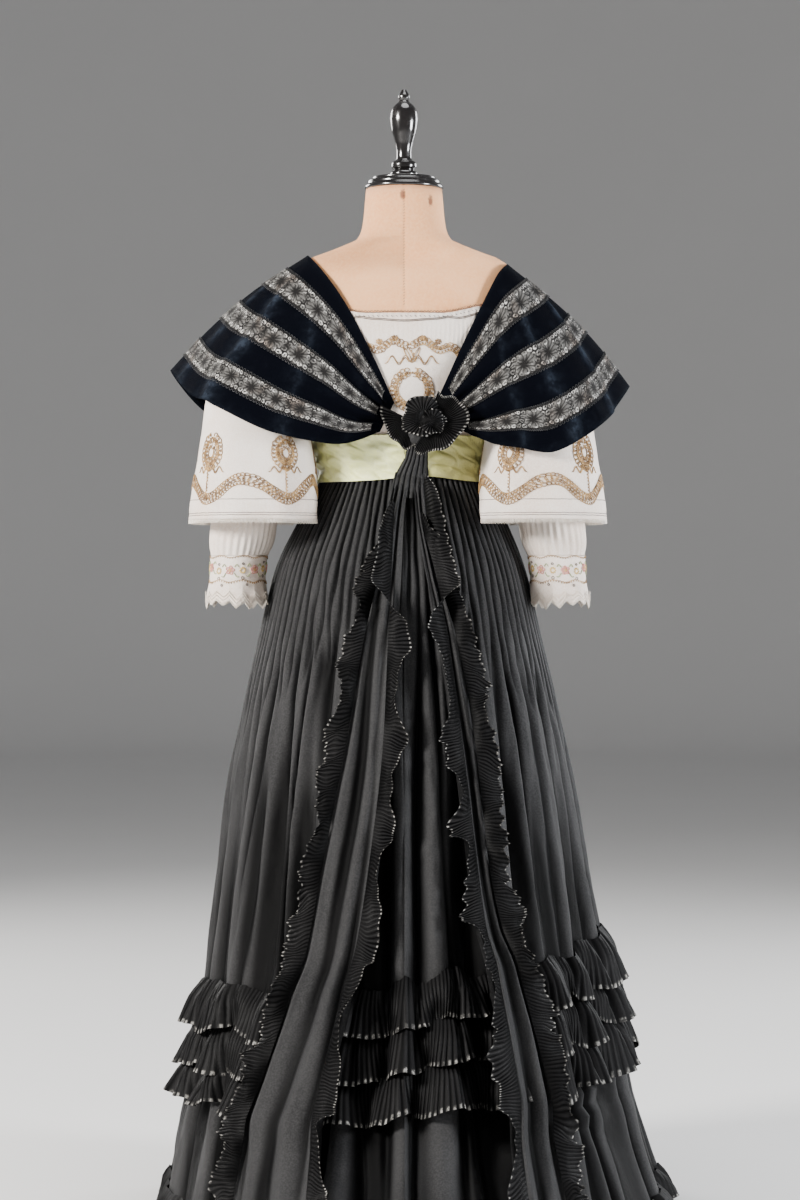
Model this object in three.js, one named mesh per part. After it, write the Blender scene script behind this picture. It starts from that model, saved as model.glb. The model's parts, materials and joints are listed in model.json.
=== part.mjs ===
// Evening dress of about 1900 on a limbless dress form, in millimetres with +Z up.
// The origin is the centre of the stand's foot on the floor. The back of the dress and its train
// lie towards -Y, the front towards +Y, and +X is to the right for someone who looks at the back.
import * as THREE from "three";

// Driving sizes
const seamGap = 0.3; // between two pieces that are sewn or lie together
const clothThickness = 2;
const laceThickness = 1.2;
const waistHeight = 1048; // where the bodice ends and the skirt hangs
const armPlateAcross = 156; // flat oval plates where a real form's arms would start
const formColumns = 24; // points round the body for the form, bodice and sash
const skirtColumns = 96; // two for each tuck of the skirt
const tuckDepth = 3;
const tuckReleaseHeight = 890; // at centre back and centre front
const tuckReleaseDrop = 150; // lower at the sides, so the tucks end in a chevron
const tuckFade = 60;
const foldsFullHeight = 430; // the hanging folds are as deep as they get from here down
const frillLength = 64;
const frillSeat = 0.6; // between a frill's sewn edge and the skirt's crests
const hemFrillTop = 48;
const hemFrillBottom = 6;

const fullTurn = 2 * Math.PI;
const degree = Math.PI / 180;

// The dress form, a level section on each row: half width, depth behind and before the axis
const formSections = [
  { height: 1465, side: 55, back: 55, front: 55 },
  { height: 1408, side: 61, back: 58, front: 61 },
  { height: 1390, side: 70, back: 62, front: 64 },
  { height: 1380, side: 96, back: 60, front: 60 },
  { height: 1372, side: 116, back: 56, front: 54 },
  { height: 1364, side: 138, back: 58, front: 55 },
  { height: 1352, side: 153, back: 66, front: 62 },
  { height: 1335, side: 161, back: 80, front: 76 },
  { height: 1262, side: 168, back: 100, front: 112 },
  { height: 1215, side: 158, back: 101, front: 128 },
  { height: 1160, side: 139, back: 97, front: 132 },
  { height: 1108, side: 126, back: 90, front: 112 },
  { height: 1075, side: 118, back: 84, front: 96 },
  { height: waistHeight, side: 113, back: 80, front: 88 },
  { height: 985, side: 134, back: 106, front: 97 },
  { height: 920, side: 150, back: 125, front: 108 },
  { height: 850, side: 160, back: 138, front: 112 },
  { height: 780, side: 160, back: 138, front: 112 },
];

// The skirt's crest line, a ring on each row. follow is the share of the frills' rise and fall.
const skirtSections = [
  { height: waistHeight, left: 119, right: 119, back: 86, front: 94, follow: 0 },
  { height: 985, left: 153, right: 148, back: 127, front: 112, follow: 0 },
  { height: 920, left: 185, right: 175, back: 163, front: 129, follow: 0 },
  { height: 820, left: 210, right: 199, back: 213, front: 153, follow: 0 },
  { height: 680, left: 241, right: 232, back: 268, front: 180, follow: 0 },
  { height: 500, left: 274, right: 266, back: 328, front: 212, follow: 0.3 },
  { height: 362, left: 295, right: 287, back: 374, front: 234, follow: 1 },
  { height: 310, left: 302, right: 297, back: 396, front: 242, follow: 1 },
  { height: 258, left: 310, right: 308, back: 420, front: 251, follow: 1 },
  { height: 140, left: 331, right: 340, back: 492, front: 270, follow: 0.4 },
  { height: hemFrillTop, left: 344, right: 374, back: 612, front: 284, follow: 0 },
  { height: 0, left: 352, right: 392, back: 735, front: 292, follow: 0 },
];
const frillRows = { upper: 6, middle: 7, lower: 8, hem: 10 }; // rows of skirtSections

// Hanging folds below the tucks: where each trough lies in degrees round from centre back,
// how deep it is and how wide, to the right first, then round the front to the left
const hangingFolds = [
  { turn: 4, deep: 9, wide: 3 },
  { turn: 20, deep: 23, wide: 6 },
  { turn: 38, deep: 19, wide: 4 },
  { turn: 48, deep: 11, wide: 3.5 },
  { turn: 63, deep: 14, wide: 6 },
  { turn: 84, deep: 12, wide: 6 },
  { turn: 104, deep: 14, wide: 6 },
  { turn: 124, deep: 12, wide: 6 },
  { turn: 143, deep: 14, wide: 6 },
  { turn: 161, deep: 10, wide: 5 },
  { turn: 180, deep: 12, wide: 6 },
  { turn: 200, deep: 12, wide: 6 },
  { turn: 218, deep: 14, wide: 6 },
  { turn: 238, deep: 12, wide: 6 },
  { turn: 257, deep: 13, wide: 6 },
  { turn: 276, deep: 11, wide: 6 },
  { turn: 294, deep: 13, wide: 6 },
  { turn: 315, deep: 22, wide: 5 },
  { turn: 327, deep: 18, wide: 4 },
  { turn: 338, deep: 12, wide: 4 },
  { turn: 351, deep: 16, wide: 5 },
];

// The bertha's neck edge and rim, from centre back over the shoulder to centre front
const berthaEdges = {
  left: [
    { neckX: -14, neckY: -105, neckZ: 1150, rimX: -34, rimY: -112, rimZ: 1108 },
    { neckX: -45, neckY: -107, neckZ: 1218, rimX: -84, rimY: -136, rimZ: 1091 },
    { neckX: -81, neckY: -91, neckZ: 1288, rimX: -140, rimY: -154, rimZ: 1094 },
    { neckX: -112, neckY: -67, neckZ: 1335, rimX: -222, rimY: -160, rimZ: 1122 },
    { neckX: -137, neckY: -22, neckZ: 1366, rimX: -300, rimY: -102, rimZ: 1160 },
    { neckX: -139, neckY: 18, neckZ: 1366.5, rimX: -338, rimY: -5, rimZ: 1202 },
    { neckX: -112, neckY: 70, neckZ: 1330, rimX: -296, rimY: 95, rimZ: 1150 },
    { neckX: -82, neckY: 105, neckZ: 1275, rimX: -190, rimY: 165, rimZ: 1105 },
    { neckX: -45, neckY: 144, neckZ: 1212, rimX: -95, rimY: 188, rimZ: 1085 },
    { neckX: -8, neckY: 156, neckZ: 1150, rimX: -8, rimY: 172, rimZ: 1100 },
  ],
  right: [
    { neckX: 48, neckY: -101, neckZ: 1156, rimX: 84, rimY: -114, rimZ: 1108 },
    { neckX: 78, neckY: -100, neckZ: 1222, rimX: 122, rimY: -140, rimZ: 1092 },
    { neckX: 112, neckY: -79, neckZ: 1293, rimX: 168, rimY: -154, rimZ: 1081 },
    { neckX: 135, neckY: -56, neckZ: 1338, rimX: 222, rimY: -160, rimZ: 1083 },
    { neckX: 149, neckY: -22, neckZ: 1354.6, rimX: 290, rimY: -100, rimZ: 1128 },
    { neckX: 149, neckY: 18, neckZ: 1354.6, rimX: 326, rimY: -5, rimZ: 1178 },
    { neckX: 122, neckY: 70, neckZ: 1330, rimX: 290, rimY: 95, rimZ: 1145 },
    { neckX: 88, neckY: 105, neckZ: 1275, rimX: 190, rimY: 165, rimZ: 1100 },
    { neckX: 48, neckY: 144, neckZ: 1212, rimX: 95, rimY: 188, rimZ: 1085 },
    { neckX: 8, neckY: 156, neckZ: 1150, rimX: 8, rimY: 172, rimZ: 1100 },
  ],
};
const berthaShape = { columns: 24, bulge: 15, flutes: 5, fluteDepth: 7 };
// The lace bands' edges across the bertha, from 0 at its neck edge to 1 at its rim
const laceBands = [
  { from: 0.135, to: 0.285 },
  { from: 0.45, to: 0.59 },
  { from: 0.76, to: 0.88 },
];

// Sleeves, from the arm plate down. out is the distance from the axis, lean turns a ring up
// towards the plate, tall is the half size across the arm and deep the half size fore and aft.
const lowerSleeveRings = [
  { out: 156.5, fore: 0, height: 1275, tall: 56, deep: 46, lean: 90 },
  { out: 190, fore: -4, height: 1252, tall: 52, deep: 54, lean: 62 },
  { out: 218, fore: -14, height: 1212, tall: 55, deep: 56, lean: 24 },
  { out: 217, fore: -28, height: 1130, tall: 54, deep: 55, lean: 6 },
  { out: 224, fore: -38, height: 1040, tall: 50, deep: 53, lean: 2 },
  { out: 231, fore: -40, height: 975, tall: 47, deep: 49, lean: 0 },
  { out: 237, fore: -40, height: 934, tall: 41, deep: 43, lean: 0 },
];
const bellRings = [
  { out: 218, fore: -17, height: 1195, tall: 57.6, deep: 58.6, lean: 18 },
  { out: 217, fore: -36, height: 1150, tall: 68, deep: 74, lean: 8 },
  { out: 212, fore: -48, height: 1100, tall: 79, deep: 82, lean: 2 },
  { out: 212, fore: -54, height: 1040, tall: 88, deep: 86, lean: 0 },
  { out: 212, fore: -55, height: 984, tall: 93, deep: 88, lean: 0 },
];
const cuffRings = [
  { out: 237, fore: -40, height: 933.6, tall: 41, deep: 43, lean: 0 },
  { out: 239, fore: -40, height: 905, tall: 40, deep: 42, lean: 0 },
  { out: 239, fore: -40, height: 872, tall: 45, deep: 47, lean: 0 },
];
const cuffPointDrop = 14; // the lace edge's points hang this much lower than its notches
const rightSleeveShift = -18; // the right sleeve hangs a little closer to the body

// The two long sash ends: left and right edge of the cloth at each height
const streamerEdges = {
  left: [
    { height: 1046, from: -24, to: 2 },
    { height: 985, from: -28, to: 0 },
    { height: 920, from: -42, to: -3 },
    { height: 820, from: -64, to: -8 },
    { height: 680, from: -87, to: -14 },
    { height: 500, from: -121, to: -34 },
    { height: 362, from: -147, to: -56 },
    { height: 258, from: -178, to: -80 },
    { height: 140, from: -216, to: -103 },
    { height: 60, from: -232, to: -112 },
  ],
  right: [
    { height: 1046, from: 10, to: 30 },
    { height: 985, from: 16, to: 35 },
    { height: 920, from: 26, to: 50 },
    { height: 820, from: 44, to: 80 },
    { height: 680, from: 62, to: 104 },
    { height: 500, from: 82, to: 123 },
    { height: 362, from: 96, to: 146 },
    { height: 258, from: 113, to: 170 },
    { height: 140, from: 132, to: 200 },
    { height: 60, from: 146, to: 220 },
  ],
};
// How far the sash ends stand off the skirt's crests: they hang over the sash and the frills
const streamerLift = [
  { height: 1046, lift: 10.4 },
  { height: 820, lift: 10 },
  { height: 500, lift: 13 },
  { height: 362, lift: 32 },
  { height: 140, lift: 30 },
  { height: 60, lift: 24 },
];
const ruffle = { step: 27, wide: 25, wave: 5, fromEdge: 0.7, betweenPair: 3 };

const finish = {
  silk: { color: 0x2a2a2c, roughness: 0.62, metalness: 0 },
  velvet: { color: 0x0a0f1d, roughness: 0.85, metalness: 0 },
  lace: { color: 0x8e8b84, roughness: 0.7, metalness: 0 },
  cream: { color: 0xe6dcc9, roughness: 0.75, metalness: 0 },
  edging: { color: 0x4a3f33, roughness: 0.6, metalness: 0 },
  satin: { color: 0xb7c46b, roughness: 0.35, metalness: 0 },
  linen: { color: 0xdab390, roughness: 0.8, metalness: 0 },
  gloss: { color: 0x0c0b0b, roughness: 0.22, metalness: 0 },
  iron: { color: 0x17171a, roughness: 0.45, metalness: 0.4 },
};

const dress = new THREE.Group();

// A table's columns at a height, straight between its rows. Rows run from the top down.
function rowAtHeight(table, height) {
  const last = table.length - 1;
  if (height >= table[0].height) return table[0];
  if (height <= table[last].height) return table[last];
  const below = table.findIndex((row) => row.height <= height);
  const upper = table[below - 1];
  const lower = table[below];
  const share = (upper.height - height) / (upper.height - lower.height);
  const mixed = {};
  for (const key of Object.keys(upper)) mixed[key] = THREE.MathUtils.lerp(upper[key], lower[key], share);
  return mixed;
}

function evenSteps(count) {
  return Array.from({ length: count }, (unused, index) => index);
}

// One closed geometry from points and triangles, turned round if its faces point in
function closedGeometry(points, faces) {
  let volume = 0;
  for (let face = 0; face < faces.length; face += 3) {
    const [a, b, c] = [points[faces[face]], points[faces[face + 1]], points[faces[face + 2]]];
    volume += a.dot(new THREE.Vector3().crossVectors(b, c));
  }
  if (volume < 0) faces.reverse();
  const geometry = new THREE.BufferGeometry().setFromPoints(points);
  geometry.setIndex(faces);
  geometry.computeVertexNormals();
  return geometry;
}

// A cloth wall from rows of outer points and rows of inner points, closed round or with two side edges
function wallGeometry(outer, inner, closedRound) {
  const rows = outer.length;
  const columns = outer[0].length;
  const spans = closedRound ? columns : columns - 1;
  const faces = [];
  const outside = (row, column) => row * columns + (column % columns);
  const inside = (row, column) => rows * columns + outside(row, column);
  const quad = (a, b, c, d) => faces.push(a, b, c, a, c, d);
  for (let column = 0; column < spans; column += 1) {
    const next = column + 1;
    for (let row = 0; row < rows - 1; row += 1) {
      quad(outside(row, column), outside(row, next), outside(row + 1, next), outside(row + 1, column));
      quad(inside(row, column), inside(row + 1, column), inside(row + 1, next), inside(row, next));
    }
    const end = rows - 1;
    quad(outside(0, next), outside(0, column), inside(0, column), inside(0, next));
    quad(outside(end, column), outside(end, next), inside(end, next), inside(end, column));
  }
  if (!closedRound) {
    const end = columns - 1;
    for (let row = 0; row < rows - 1; row += 1) {
      quad(outside(row, 0), outside(row + 1, 0), inside(row + 1, 0), inside(row, 0));
      quad(outside(row, end), inside(row, end), inside(row + 1, end), outside(row + 1, end));
    }
  }
  return closedGeometry([...outer.flat(), ...inner.flat()], faces);
}

// The inner points of a wall: each outer point moved by the thickness, square to the cloth,
// towards the side on which the point given by centreOf lies
function innerPoints(outer, thickness, closedRound, centreOf) {
  const rows = outer.length;
  const columns = outer[0].length;
  return outer.map((line, row) =>
    line.map((point, column) => {
      const before = closedRound ? (column + columns - 1) % columns : Math.max(column - 1, 0);
      const after = closedRound ? (column + 1) % columns : Math.min(column + 1, columns - 1);
      const across = outer[row][after].clone().sub(outer[row][before]);
      const down = outer[Math.min(row + 1, rows - 1)][column].clone();
      down.sub(outer[Math.max(row - 1, 0)][column]);
      const inwards = across.cross(down).normalize();
      if (inwards.dot(centreOf(point, row).clone().sub(point)) < 0) inwards.negate();
      return point.clone().addScaledVector(inwards, thickness);
    }),
  );
}

function addPiece(name, geometry, look) {
  const mesh = new THREE.Mesh(geometry, new THREE.MeshStandardMaterial(finish[look]));
  mesh.name = name;
  dress.add(mesh);
  return mesh;
}

// A turned piece: its profile is radius and height from the lower axis point to the upper one
function turnedGeometry(profile, sides) {
  const points = profile.map(([radius, height]) => new THREE.Vector2(radius, height));
  return new THREE.LatheGeometry(points, sides).rotateX(Math.PI / 2);
}

// The body's surface at a turn round from centre back, moved out level by lift
function bodyPoint(turn, height, lift) {
  const section = rowAtHeight(formSections, height);
  const depth = Math.cos(turn) > 0 ? section.back : section.front;
  const across = THREE.MathUtils.clamp(section.side * Math.sin(turn), -armPlateAcross, armPlateAcross);
  const outwards = new THREE.Vector2(Math.sin(turn) / section.side, -Math.cos(turn) / depth).normalize();
  return new THREE.Vector3(across + outwards.x * lift, -depth * Math.cos(turn) + outwards.y * lift, height);
}

function addDressForm() {
  const points = [];
  const faces = [];
  for (const section of formSections) {
    for (const column of evenSteps(formColumns)) {
      points.push(bodyPoint((column / formColumns) * fullTurn, section.height, 0));
    }
  }
  const top = points.push(new THREE.Vector3(0, 0, formSections[0].height)) - 1;
  const bottom = points.push(new THREE.Vector3(0, 0, formSections.at(-1).height)) - 1;
  const lastRing = (formSections.length - 1) * formColumns;
  for (const column of evenSteps(formColumns)) {
    const next = (column + 1) % formColumns;
    faces.push(top, next, column, bottom, lastRing + column, lastRing + next);
    for (let ring = 0; ring < lastRing; ring += formColumns) {
      const [a, b, c, d] = [ring + column, ring + next, ring + formColumns + next, ring + formColumns + column];
      faces.push(a, b, c, a, c, d);
    }
  }
  addPiece("form_torso", closedGeometry(points, faces), "linen");
}

// Cap, finial, pole and foot. Heights are from the floor, radius first.
function addStand() {
  const capFoot = formSections[0].height + seamGap;
  const capProfile = [
    [0, capFoot], [57, capFoot], [57, capFoot + 5], [53, capFoot + 7], [53, capFoot + 12],
    [46, capFoot + 14], [46, capFoot + 17], [0, capFoot + 17],
  ];
  addPiece("form_neck_cap", turnedGeometry(capProfile, 24), "gloss");
  const finialFoot = capFoot + 17 + seamGap;
  const finialProfile = [
    [0, 0], [19, 0], [20, 6], [15, 10], [18, 15], [18, 21], [11, 26], [11, 36], [13, 46], [18, 66],
    [20, 84], [18, 96], [12, 106], [7, 112], [8, 117], [7, 122], [4, 126], [0, 128],
  ].map(([radius, rise]) => [radius, finialFoot + rise]);
  addPiece("form_finial", turnedGeometry(finialProfile, 16), "gloss");
  const footTop = 22;
  const footProfile = [[0, 0], [168, 0], [170, 5], [160, 12], [90, 16], [34, footTop], [0, footTop]];
  addPiece("stand_foot", turnedGeometry(footProfile, 24), "iron");
  const poleTop = formSections.at(-1).height - seamGap;
  const poleFoot = footTop + seamGap;
  const poleProfile = [
    [0, poleFoot], [26, poleFoot], [26, poleFoot + 14], [16, poleFoot + 24],
    [16, poleTop - 20], [40, poleTop - 10], [40, poleTop], [0, poleTop],
  ];
  addPiece("stand_pole", turnedGeometry(poleProfile, 16), "iron");
}

// The bodice's upper edge: low at centre back and centre front, cut down for the armholes
function bodiceTopAt(turn) {
  const side = Math.abs(Math.sin(turn));
  const neckRise = 14 * THREE.MathUtils.smoothstep(side, 0.3, 0.75);
  const armholeDrop = 94 * THREE.MathUtils.smoothstep(side, 0.79, 1);
  return 1277 + neckRise - armholeDrop;
}

// The front of the bodice is pouched over the waist
function pouchAt(turn, height) {
  const forward = Math.max(0, -Math.cos(turn));
  const low = THREE.MathUtils.smoothstep(height, 1108, 1160);
  const high = 1 - THREE.MathUtils.smoothstep(height, 1215, 1275);
  return 12 * forward * low * high;
}

const bodiceLift = 5;

function bodicePoint(turn, height, lift) {
  return bodyPoint(turn, height, bodiceLift + pouchAt(turn, height) + lift);
}

// A panel of a body layer between two columns round the body, parted from its neighbours by a seam.
// pointAt gives the layer's point at a turn, on one of its lines and moved out by lift.
function addBodyPanel(name, look, first, last, lines, pointAt) {
  const seamTurn = 0.08 * degree; // half a seam gap on a body of this size
  const grid = (lift) =>
    evenSteps(lines).map((line) =>
      evenSteps(last - first + 1).map((step) => {
        const turn = ((first + step) / formColumns) * fullTurn;
        const inset = step === 0 ? seamTurn : first + step === last ? -seamTurn : 0;
        return pointAt(turn + inset, line, lift);
      }),
    );
  addPiece(name, wallGeometry(grid(0), grid(-clothThickness), false), look);
}

// The bodice's lines from the waist up: level ones first, then three that share the rest of the way
const bodiceLevels = [waistHeight + seamGap, 1075, 1108, 1160, 1215];
const bodiceUpperLines = 3;

function bodiceLinePoint(turn, line, lift) {
  const top = bodiceTopAt(turn);
  const levelLines = bodiceLevels.length;
  const leastStep = 2; // between lines where the armhole is cut lower than they are
  const linesAbove = levelLines + bodiceUpperLines - 1 - line;
  if (line < levelLines) {
    return bodicePoint(turn, Math.min(bodiceLevels[line], top - linesAbove * leastStep), lift);
  }
  const lastLevel = Math.min(bodiceLevels.at(-1), top - bodiceUpperLines * leastStep);
  return bodicePoint(turn, THREE.MathUtils.lerp(top, lastLevel, linesAbove / bodiceUpperLines), lift);
}

function addBodice() {
  const half = formColumns / 2;
  const quarter = formColumns / 4;
  const lines = bodiceLevels.length + bodiceUpperLines;
  addBodyPanel("bodice_back", "cream", -quarter, quarter, lines, bodiceLinePoint);
  addBodyPanel("bodice_front", "cream", quarter, quarter + half, lines, bodiceLinePoint);
}

// The dark picot and beading band on the neck edge, behind and in front
function addNeckEdging(name, middle) {
  const band = [5, -5]; // above and below the bodice's edge
  const reach = 3; // columns to each side, to just under the bertha
  const strip = (drop, lift) =>
    evenSteps(2 * reach + 1).map((step) => {
      const turn = ((middle + step - reach) / formColumns) * fullTurn;
      return bodicePoint(turn, bodiceTopAt(turn) + drop, lift);
    });
  const inner = band.map((drop) => strip(drop, seamGap + 0.5));
  const outer = band.map((drop) => strip(drop, seamGap + 0.5 + laceThickness));
  addPiece(name, wallGeometry(outer, inner, false), "edging");
}

// The sash's crushed folds, from its lower edge up: height and how far each line stands off
const sashLines = [
  { height: 1042, out: 6 },
  { height: 1050, out: 5 },
  { height: 1060, out: 1 },
  { height: 1069, out: 5 },
  { height: 1079, out: 1 },
  { height: 1088, out: 5 },
  { height: 1098, out: 1.5 },
  { height: 1107, out: 3 },
];

function sashLinePoint(turn, line, lift) {
  const { height, out } = sashLines[line];
  const uneven = 0.8 + 0.2 * Math.sin(3 * turn + line);
  const seat = bodiceLift + seamGap + 0.2;
  return bodyPoint(turn, height, seat + clothThickness + out * uneven + lift);
}

function addSash() {
  const half = formColumns / 2;
  addBodyPanel("sash_left", "satin", -half, 0, sashLines.length, sashLinePoint);
  addBodyPanel("sash_right", "satin", 0, half, sashLines.length, sashLinePoint);
}

// The bertha's surface: along runs from centre back to centre front, down from neck edge to rim
const berthaCurves = {};
for (const [side, rows] of Object.entries(berthaEdges)) {
  const neck = rows.map((row) => new THREE.Vector3(row.neckX, row.neckY, row.neckZ));
  const rim = rows.map((row) => new THREE.Vector3(row.rimX, row.rimY, row.rimZ));
  berthaCurves[side] = { neck: new THREE.CatmullRomCurve3(neck), rim: new THREE.CatmullRomCurve3(rim) };
}

function berthaPoint(side, along, down, lift) {
  const { neck, rim } = berthaCurves[side];
  const start = neck.getPoint(along);
  const end = rim.getPoint(along);
  const outwards = end.clone().sub(start).cross(neck.getTangent(along)).normalize();
  if (outwards.dot(new THREE.Vector3(start.x, start.y, 250)) < 0) outwards.negate();
  const free = Math.sin(Math.PI * along) ** 0.7; // the two ends lie flat
  const flute = berthaShape.fluteDepth * down ** 2 * free * Math.cos(berthaShape.flutes * fullTurn * along);
  const bulge = berthaShape.bulge * Math.sin(Math.PI * down) * free;
  return start.lerp(end, down).addScaledVector(outwards, bulge + flute + lift);
}

function berthaWall(side, alongs, downs, lift, thickness) {
  const grid = (offset) => downs.map((down) => alongs.map((along) => berthaPoint(side, along, down, offset)));
  return wallGeometry(grid(lift), grid(lift - thickness), false);
}

function addBertha(side) {
  const alongs = evenSteps(berthaShape.columns + 1).map((index) => index / berthaShape.columns);
  const downs = [0, ...laceBands.flatMap((band) => [band.from, band.to]), 1];
  addPiece(`bertha_${side}`, berthaWall(side, alongs, downs, 0, clothThickness), "velvet");
  laceBands.forEach((band, index) => {
    const name = `lace_band_${side}_${index + 1}`;
    const lift = seamGap + laceThickness;
    const wall = berthaWall(side, alongs.slice(1, -1), [band.from, band.to], lift, laceThickness);
    addPiece(name, wall, "lace");
  });
}

// The skirt's crest surface before tucks and folds. Row and column may lie between two lines.
function frillPathAt(turn) {
  return 34 * Math.sin(turn) + 7 * Math.sin(5 * turn + 0.6);
}

function skirtCrestVertex(row, column) {
  const section = skirtSections[row];
  const turn = (column / skirtColumns) * fullTurn;
  const side = Math.sin(turn) < 0 ? section.left : section.right;
  const depth = Math.cos(turn) > 0 ? section.back : section.front;
  const height = section.height + section.follow * frillPathAt(turn);
  return new THREE.Vector3(side * Math.sin(turn), -depth * Math.cos(turn), height);
}

const wrapColumn = (column) => ((column % skirtColumns) + skirtColumns) % skirtColumns;

const skirtCrest = evenSteps(skirtSections.length).map((row) =>
  evenSteps(skirtColumns).map((column) => skirtCrestVertex(row, column)),
);

// Square to the smooth skirt, outwards
const skirtOutwards = skirtCrest.map((line, row) =>
  line.map((point, column) => {
    const across = line[wrapColumn(column + 1)].clone().sub(line[wrapColumn(column - 1)]);
    const down = skirtCrest[Math.min(row + 1, skirtCrest.length - 1)][column].clone();
    down.sub(skirtCrest[Math.max(row - 1, 0)][column]);
    return down.cross(across).normalize();
  }),
);

function skirtHollowAt(row, column) {
  const turn = (column / skirtColumns) * fullTurn;
  const height = skirtSections[row].height;
  const release = tuckReleaseHeight - tuckReleaseDrop * Math.abs(Math.sin(turn)) ** 1.5;
  const tucked = THREE.MathUtils.smoothstep(height, release - tuckFade, release);
  const hanging = 1 - THREE.MathUtils.smoothstep(height, foldsFullHeight, release);
  const tuck = column % 2 ? tuckDepth * tucked : 0;
  let fold = 0;
  for (const { turn: place, deep, wide } of hangingFolds) {
    const away = THREE.MathUtils.euclideanModulo(turn / degree - place + 180, 360) - 180;
    fold += deep * Math.exp(-((away / wide) ** 2));
  }
  return tuck + fold * hanging;
}

function skirtVertex(row, column, lift) {
  const wrapped = wrapColumn(column);
  const out = lift - skirtHollowAt(row, wrapped);
  const point = skirtCrest[row][wrapped].clone().addScaledVector(skirtOutwards[row][wrapped], out);
  if (row === skirtSections.length - 1) point.z = 0; // the hem stands on the floor
  return point;
}

// A point off the crest surface, for what hangs over the skirt
function overSkirt(row, column, lift) {
  const upper = Math.min(Math.floor(row), skirtSections.length - 2);
  const left = Math.floor(column);
  const corner = (down, across) => {
    const [line, place] = [upper + down, wrapColumn(left + across)];
    return skirtCrest[line][place].clone().addScaledVector(skirtOutwards[line][place], lift);
  };
  const top = corner(0, 0).lerp(corner(0, 1), column - left);
  const foot = corner(1, 0).lerp(corner(1, 1), column - left);
  return top.lerp(foot, row - upper);
}

function skirtRowAt(height) {
  if (height >= skirtSections[0].height) return 0;
  const below = skirtSections.findIndex((row) => row.height <= height);
  const upper = skirtSections[below - 1].height;
  return below - 1 + (upper - height) / (upper - skirtSections[below].height);
}

function alongRing(row, column) {
  const line = skirtCrest[row];
  return line[wrapColumn(column + 1)].clone().sub(line[wrapColumn(column - 1)]).normalize();
}

// Gores, each from one seam column to the next
const gores = [
  { name: "skirt_back_right", from: 0, to: 16 },
  { name: "skirt_side_right", from: 16, to: 30 },
  { name: "skirt_side_front_right", from: 30, to: 42 },
  { name: "skirt_front", from: 42, to: 54 },
  { name: "skirt_side_front_left", from: 54, to: 66 },
  { name: "skirt_side_left", from: 66, to: 80 },
  { name: "skirt_back_left", from: 80, to: 96 },
];

function addSkirt() {
  for (const { name, from, to } of gores) {
    const wall = (lift) =>
      evenSteps(skirtSections.length).map((row) => {
        const line = evenSteps(to - from + 1).map((step) => skirtVertex(row, from + step, lift));
        line[0].addScaledVector(alongRing(row, from), seamGap / 2);
        line.at(-1).addScaledVector(alongRing(row, to), -seamGap / 2);
        return line;
      });
    addPiece(name, wallGeometry(wall(0), wall(-clothThickness), false), "silk");
  }
}

// A pleated frill: a ring sewn along a row of the skirt, its pleats standing out towards its edge
function addFrill(name, row, lowerRow, topLift, flare, wave) {
  const waves = skirtColumns / 4;
  const line = (place, lift, swing) =>
    evenSteps(waves * 2).map((index) => overSkirt(place, index * 2, lift + (index % 2 ? -swing : swing)));
  const outer = [line(row, topLift + laceThickness, 0), line(lowerRow, flare, wave)];
  const inner = [line(row, topLift, 0), line(lowerRow, flare - laceThickness, wave)];
  addPiece(name, wallGeometry(outer, inner, true), "silk");
}

function addFrills() {
  for (const name of ["upper", "middle", "lower"]) {
    const top = frillRows[name];
    const low = skirtRowAt(skirtSections[top].height - frillLength);
    addFrill(`tier_frill_${name}`, top, low, frillSeat, 17, 5);
  }
  const hemRow = skirtRowAt(hemFrillBottom);
  addFrill("hem_frill", frillRows.hem, hemRow, frillSeat, 13, 4.5);
}

function columnAt(across, height) {
  const section = rowAtHeight(skirtSections, height);
  const side = across < 0 ? section.left : section.right;
  return (Math.asin(across / side) / fullTurn) * skirtColumns;
}

function overSkirtAt(across, height, lift) {
  return overSkirt(skirtRowAt(height), columnAt(across, height), lift);
}

function addStreamer(side) {
  const edges = streamerEdges[side];
  const softFold = [0, 5, -2, 0]; // across the width, one long ridge and one hollow
  const wall = (offset) =>
    edges.map(({ height, from, to }) => {
      const { lift } = rowAtHeight(streamerLift, height);
      return softFold.map((fold, index) => {
        const across = THREE.MathUtils.lerp(from, to, index / (softFold.length - 1));
        return overSkirtAt(across, height, lift + fold + offset);
      });
    });
  addPiece(`streamer_${side}`, wallGeometry(wall(0), wall(-clothThickness), false), "silk");
}

const ruffleFirstRow = 2; // the ruffles begin at this row of the sash ends' table

// Half the way between the two sash ends, so that their inner ruffles don't cross
function roomBetweenAt(height) {
  const left = rowAtHeight(streamerEdges.left, height).to;
  const right = rowAtHeight(streamerEdges.right, height).from;
  return (right - left) / 2 - ruffle.betweenPair;
}

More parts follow.
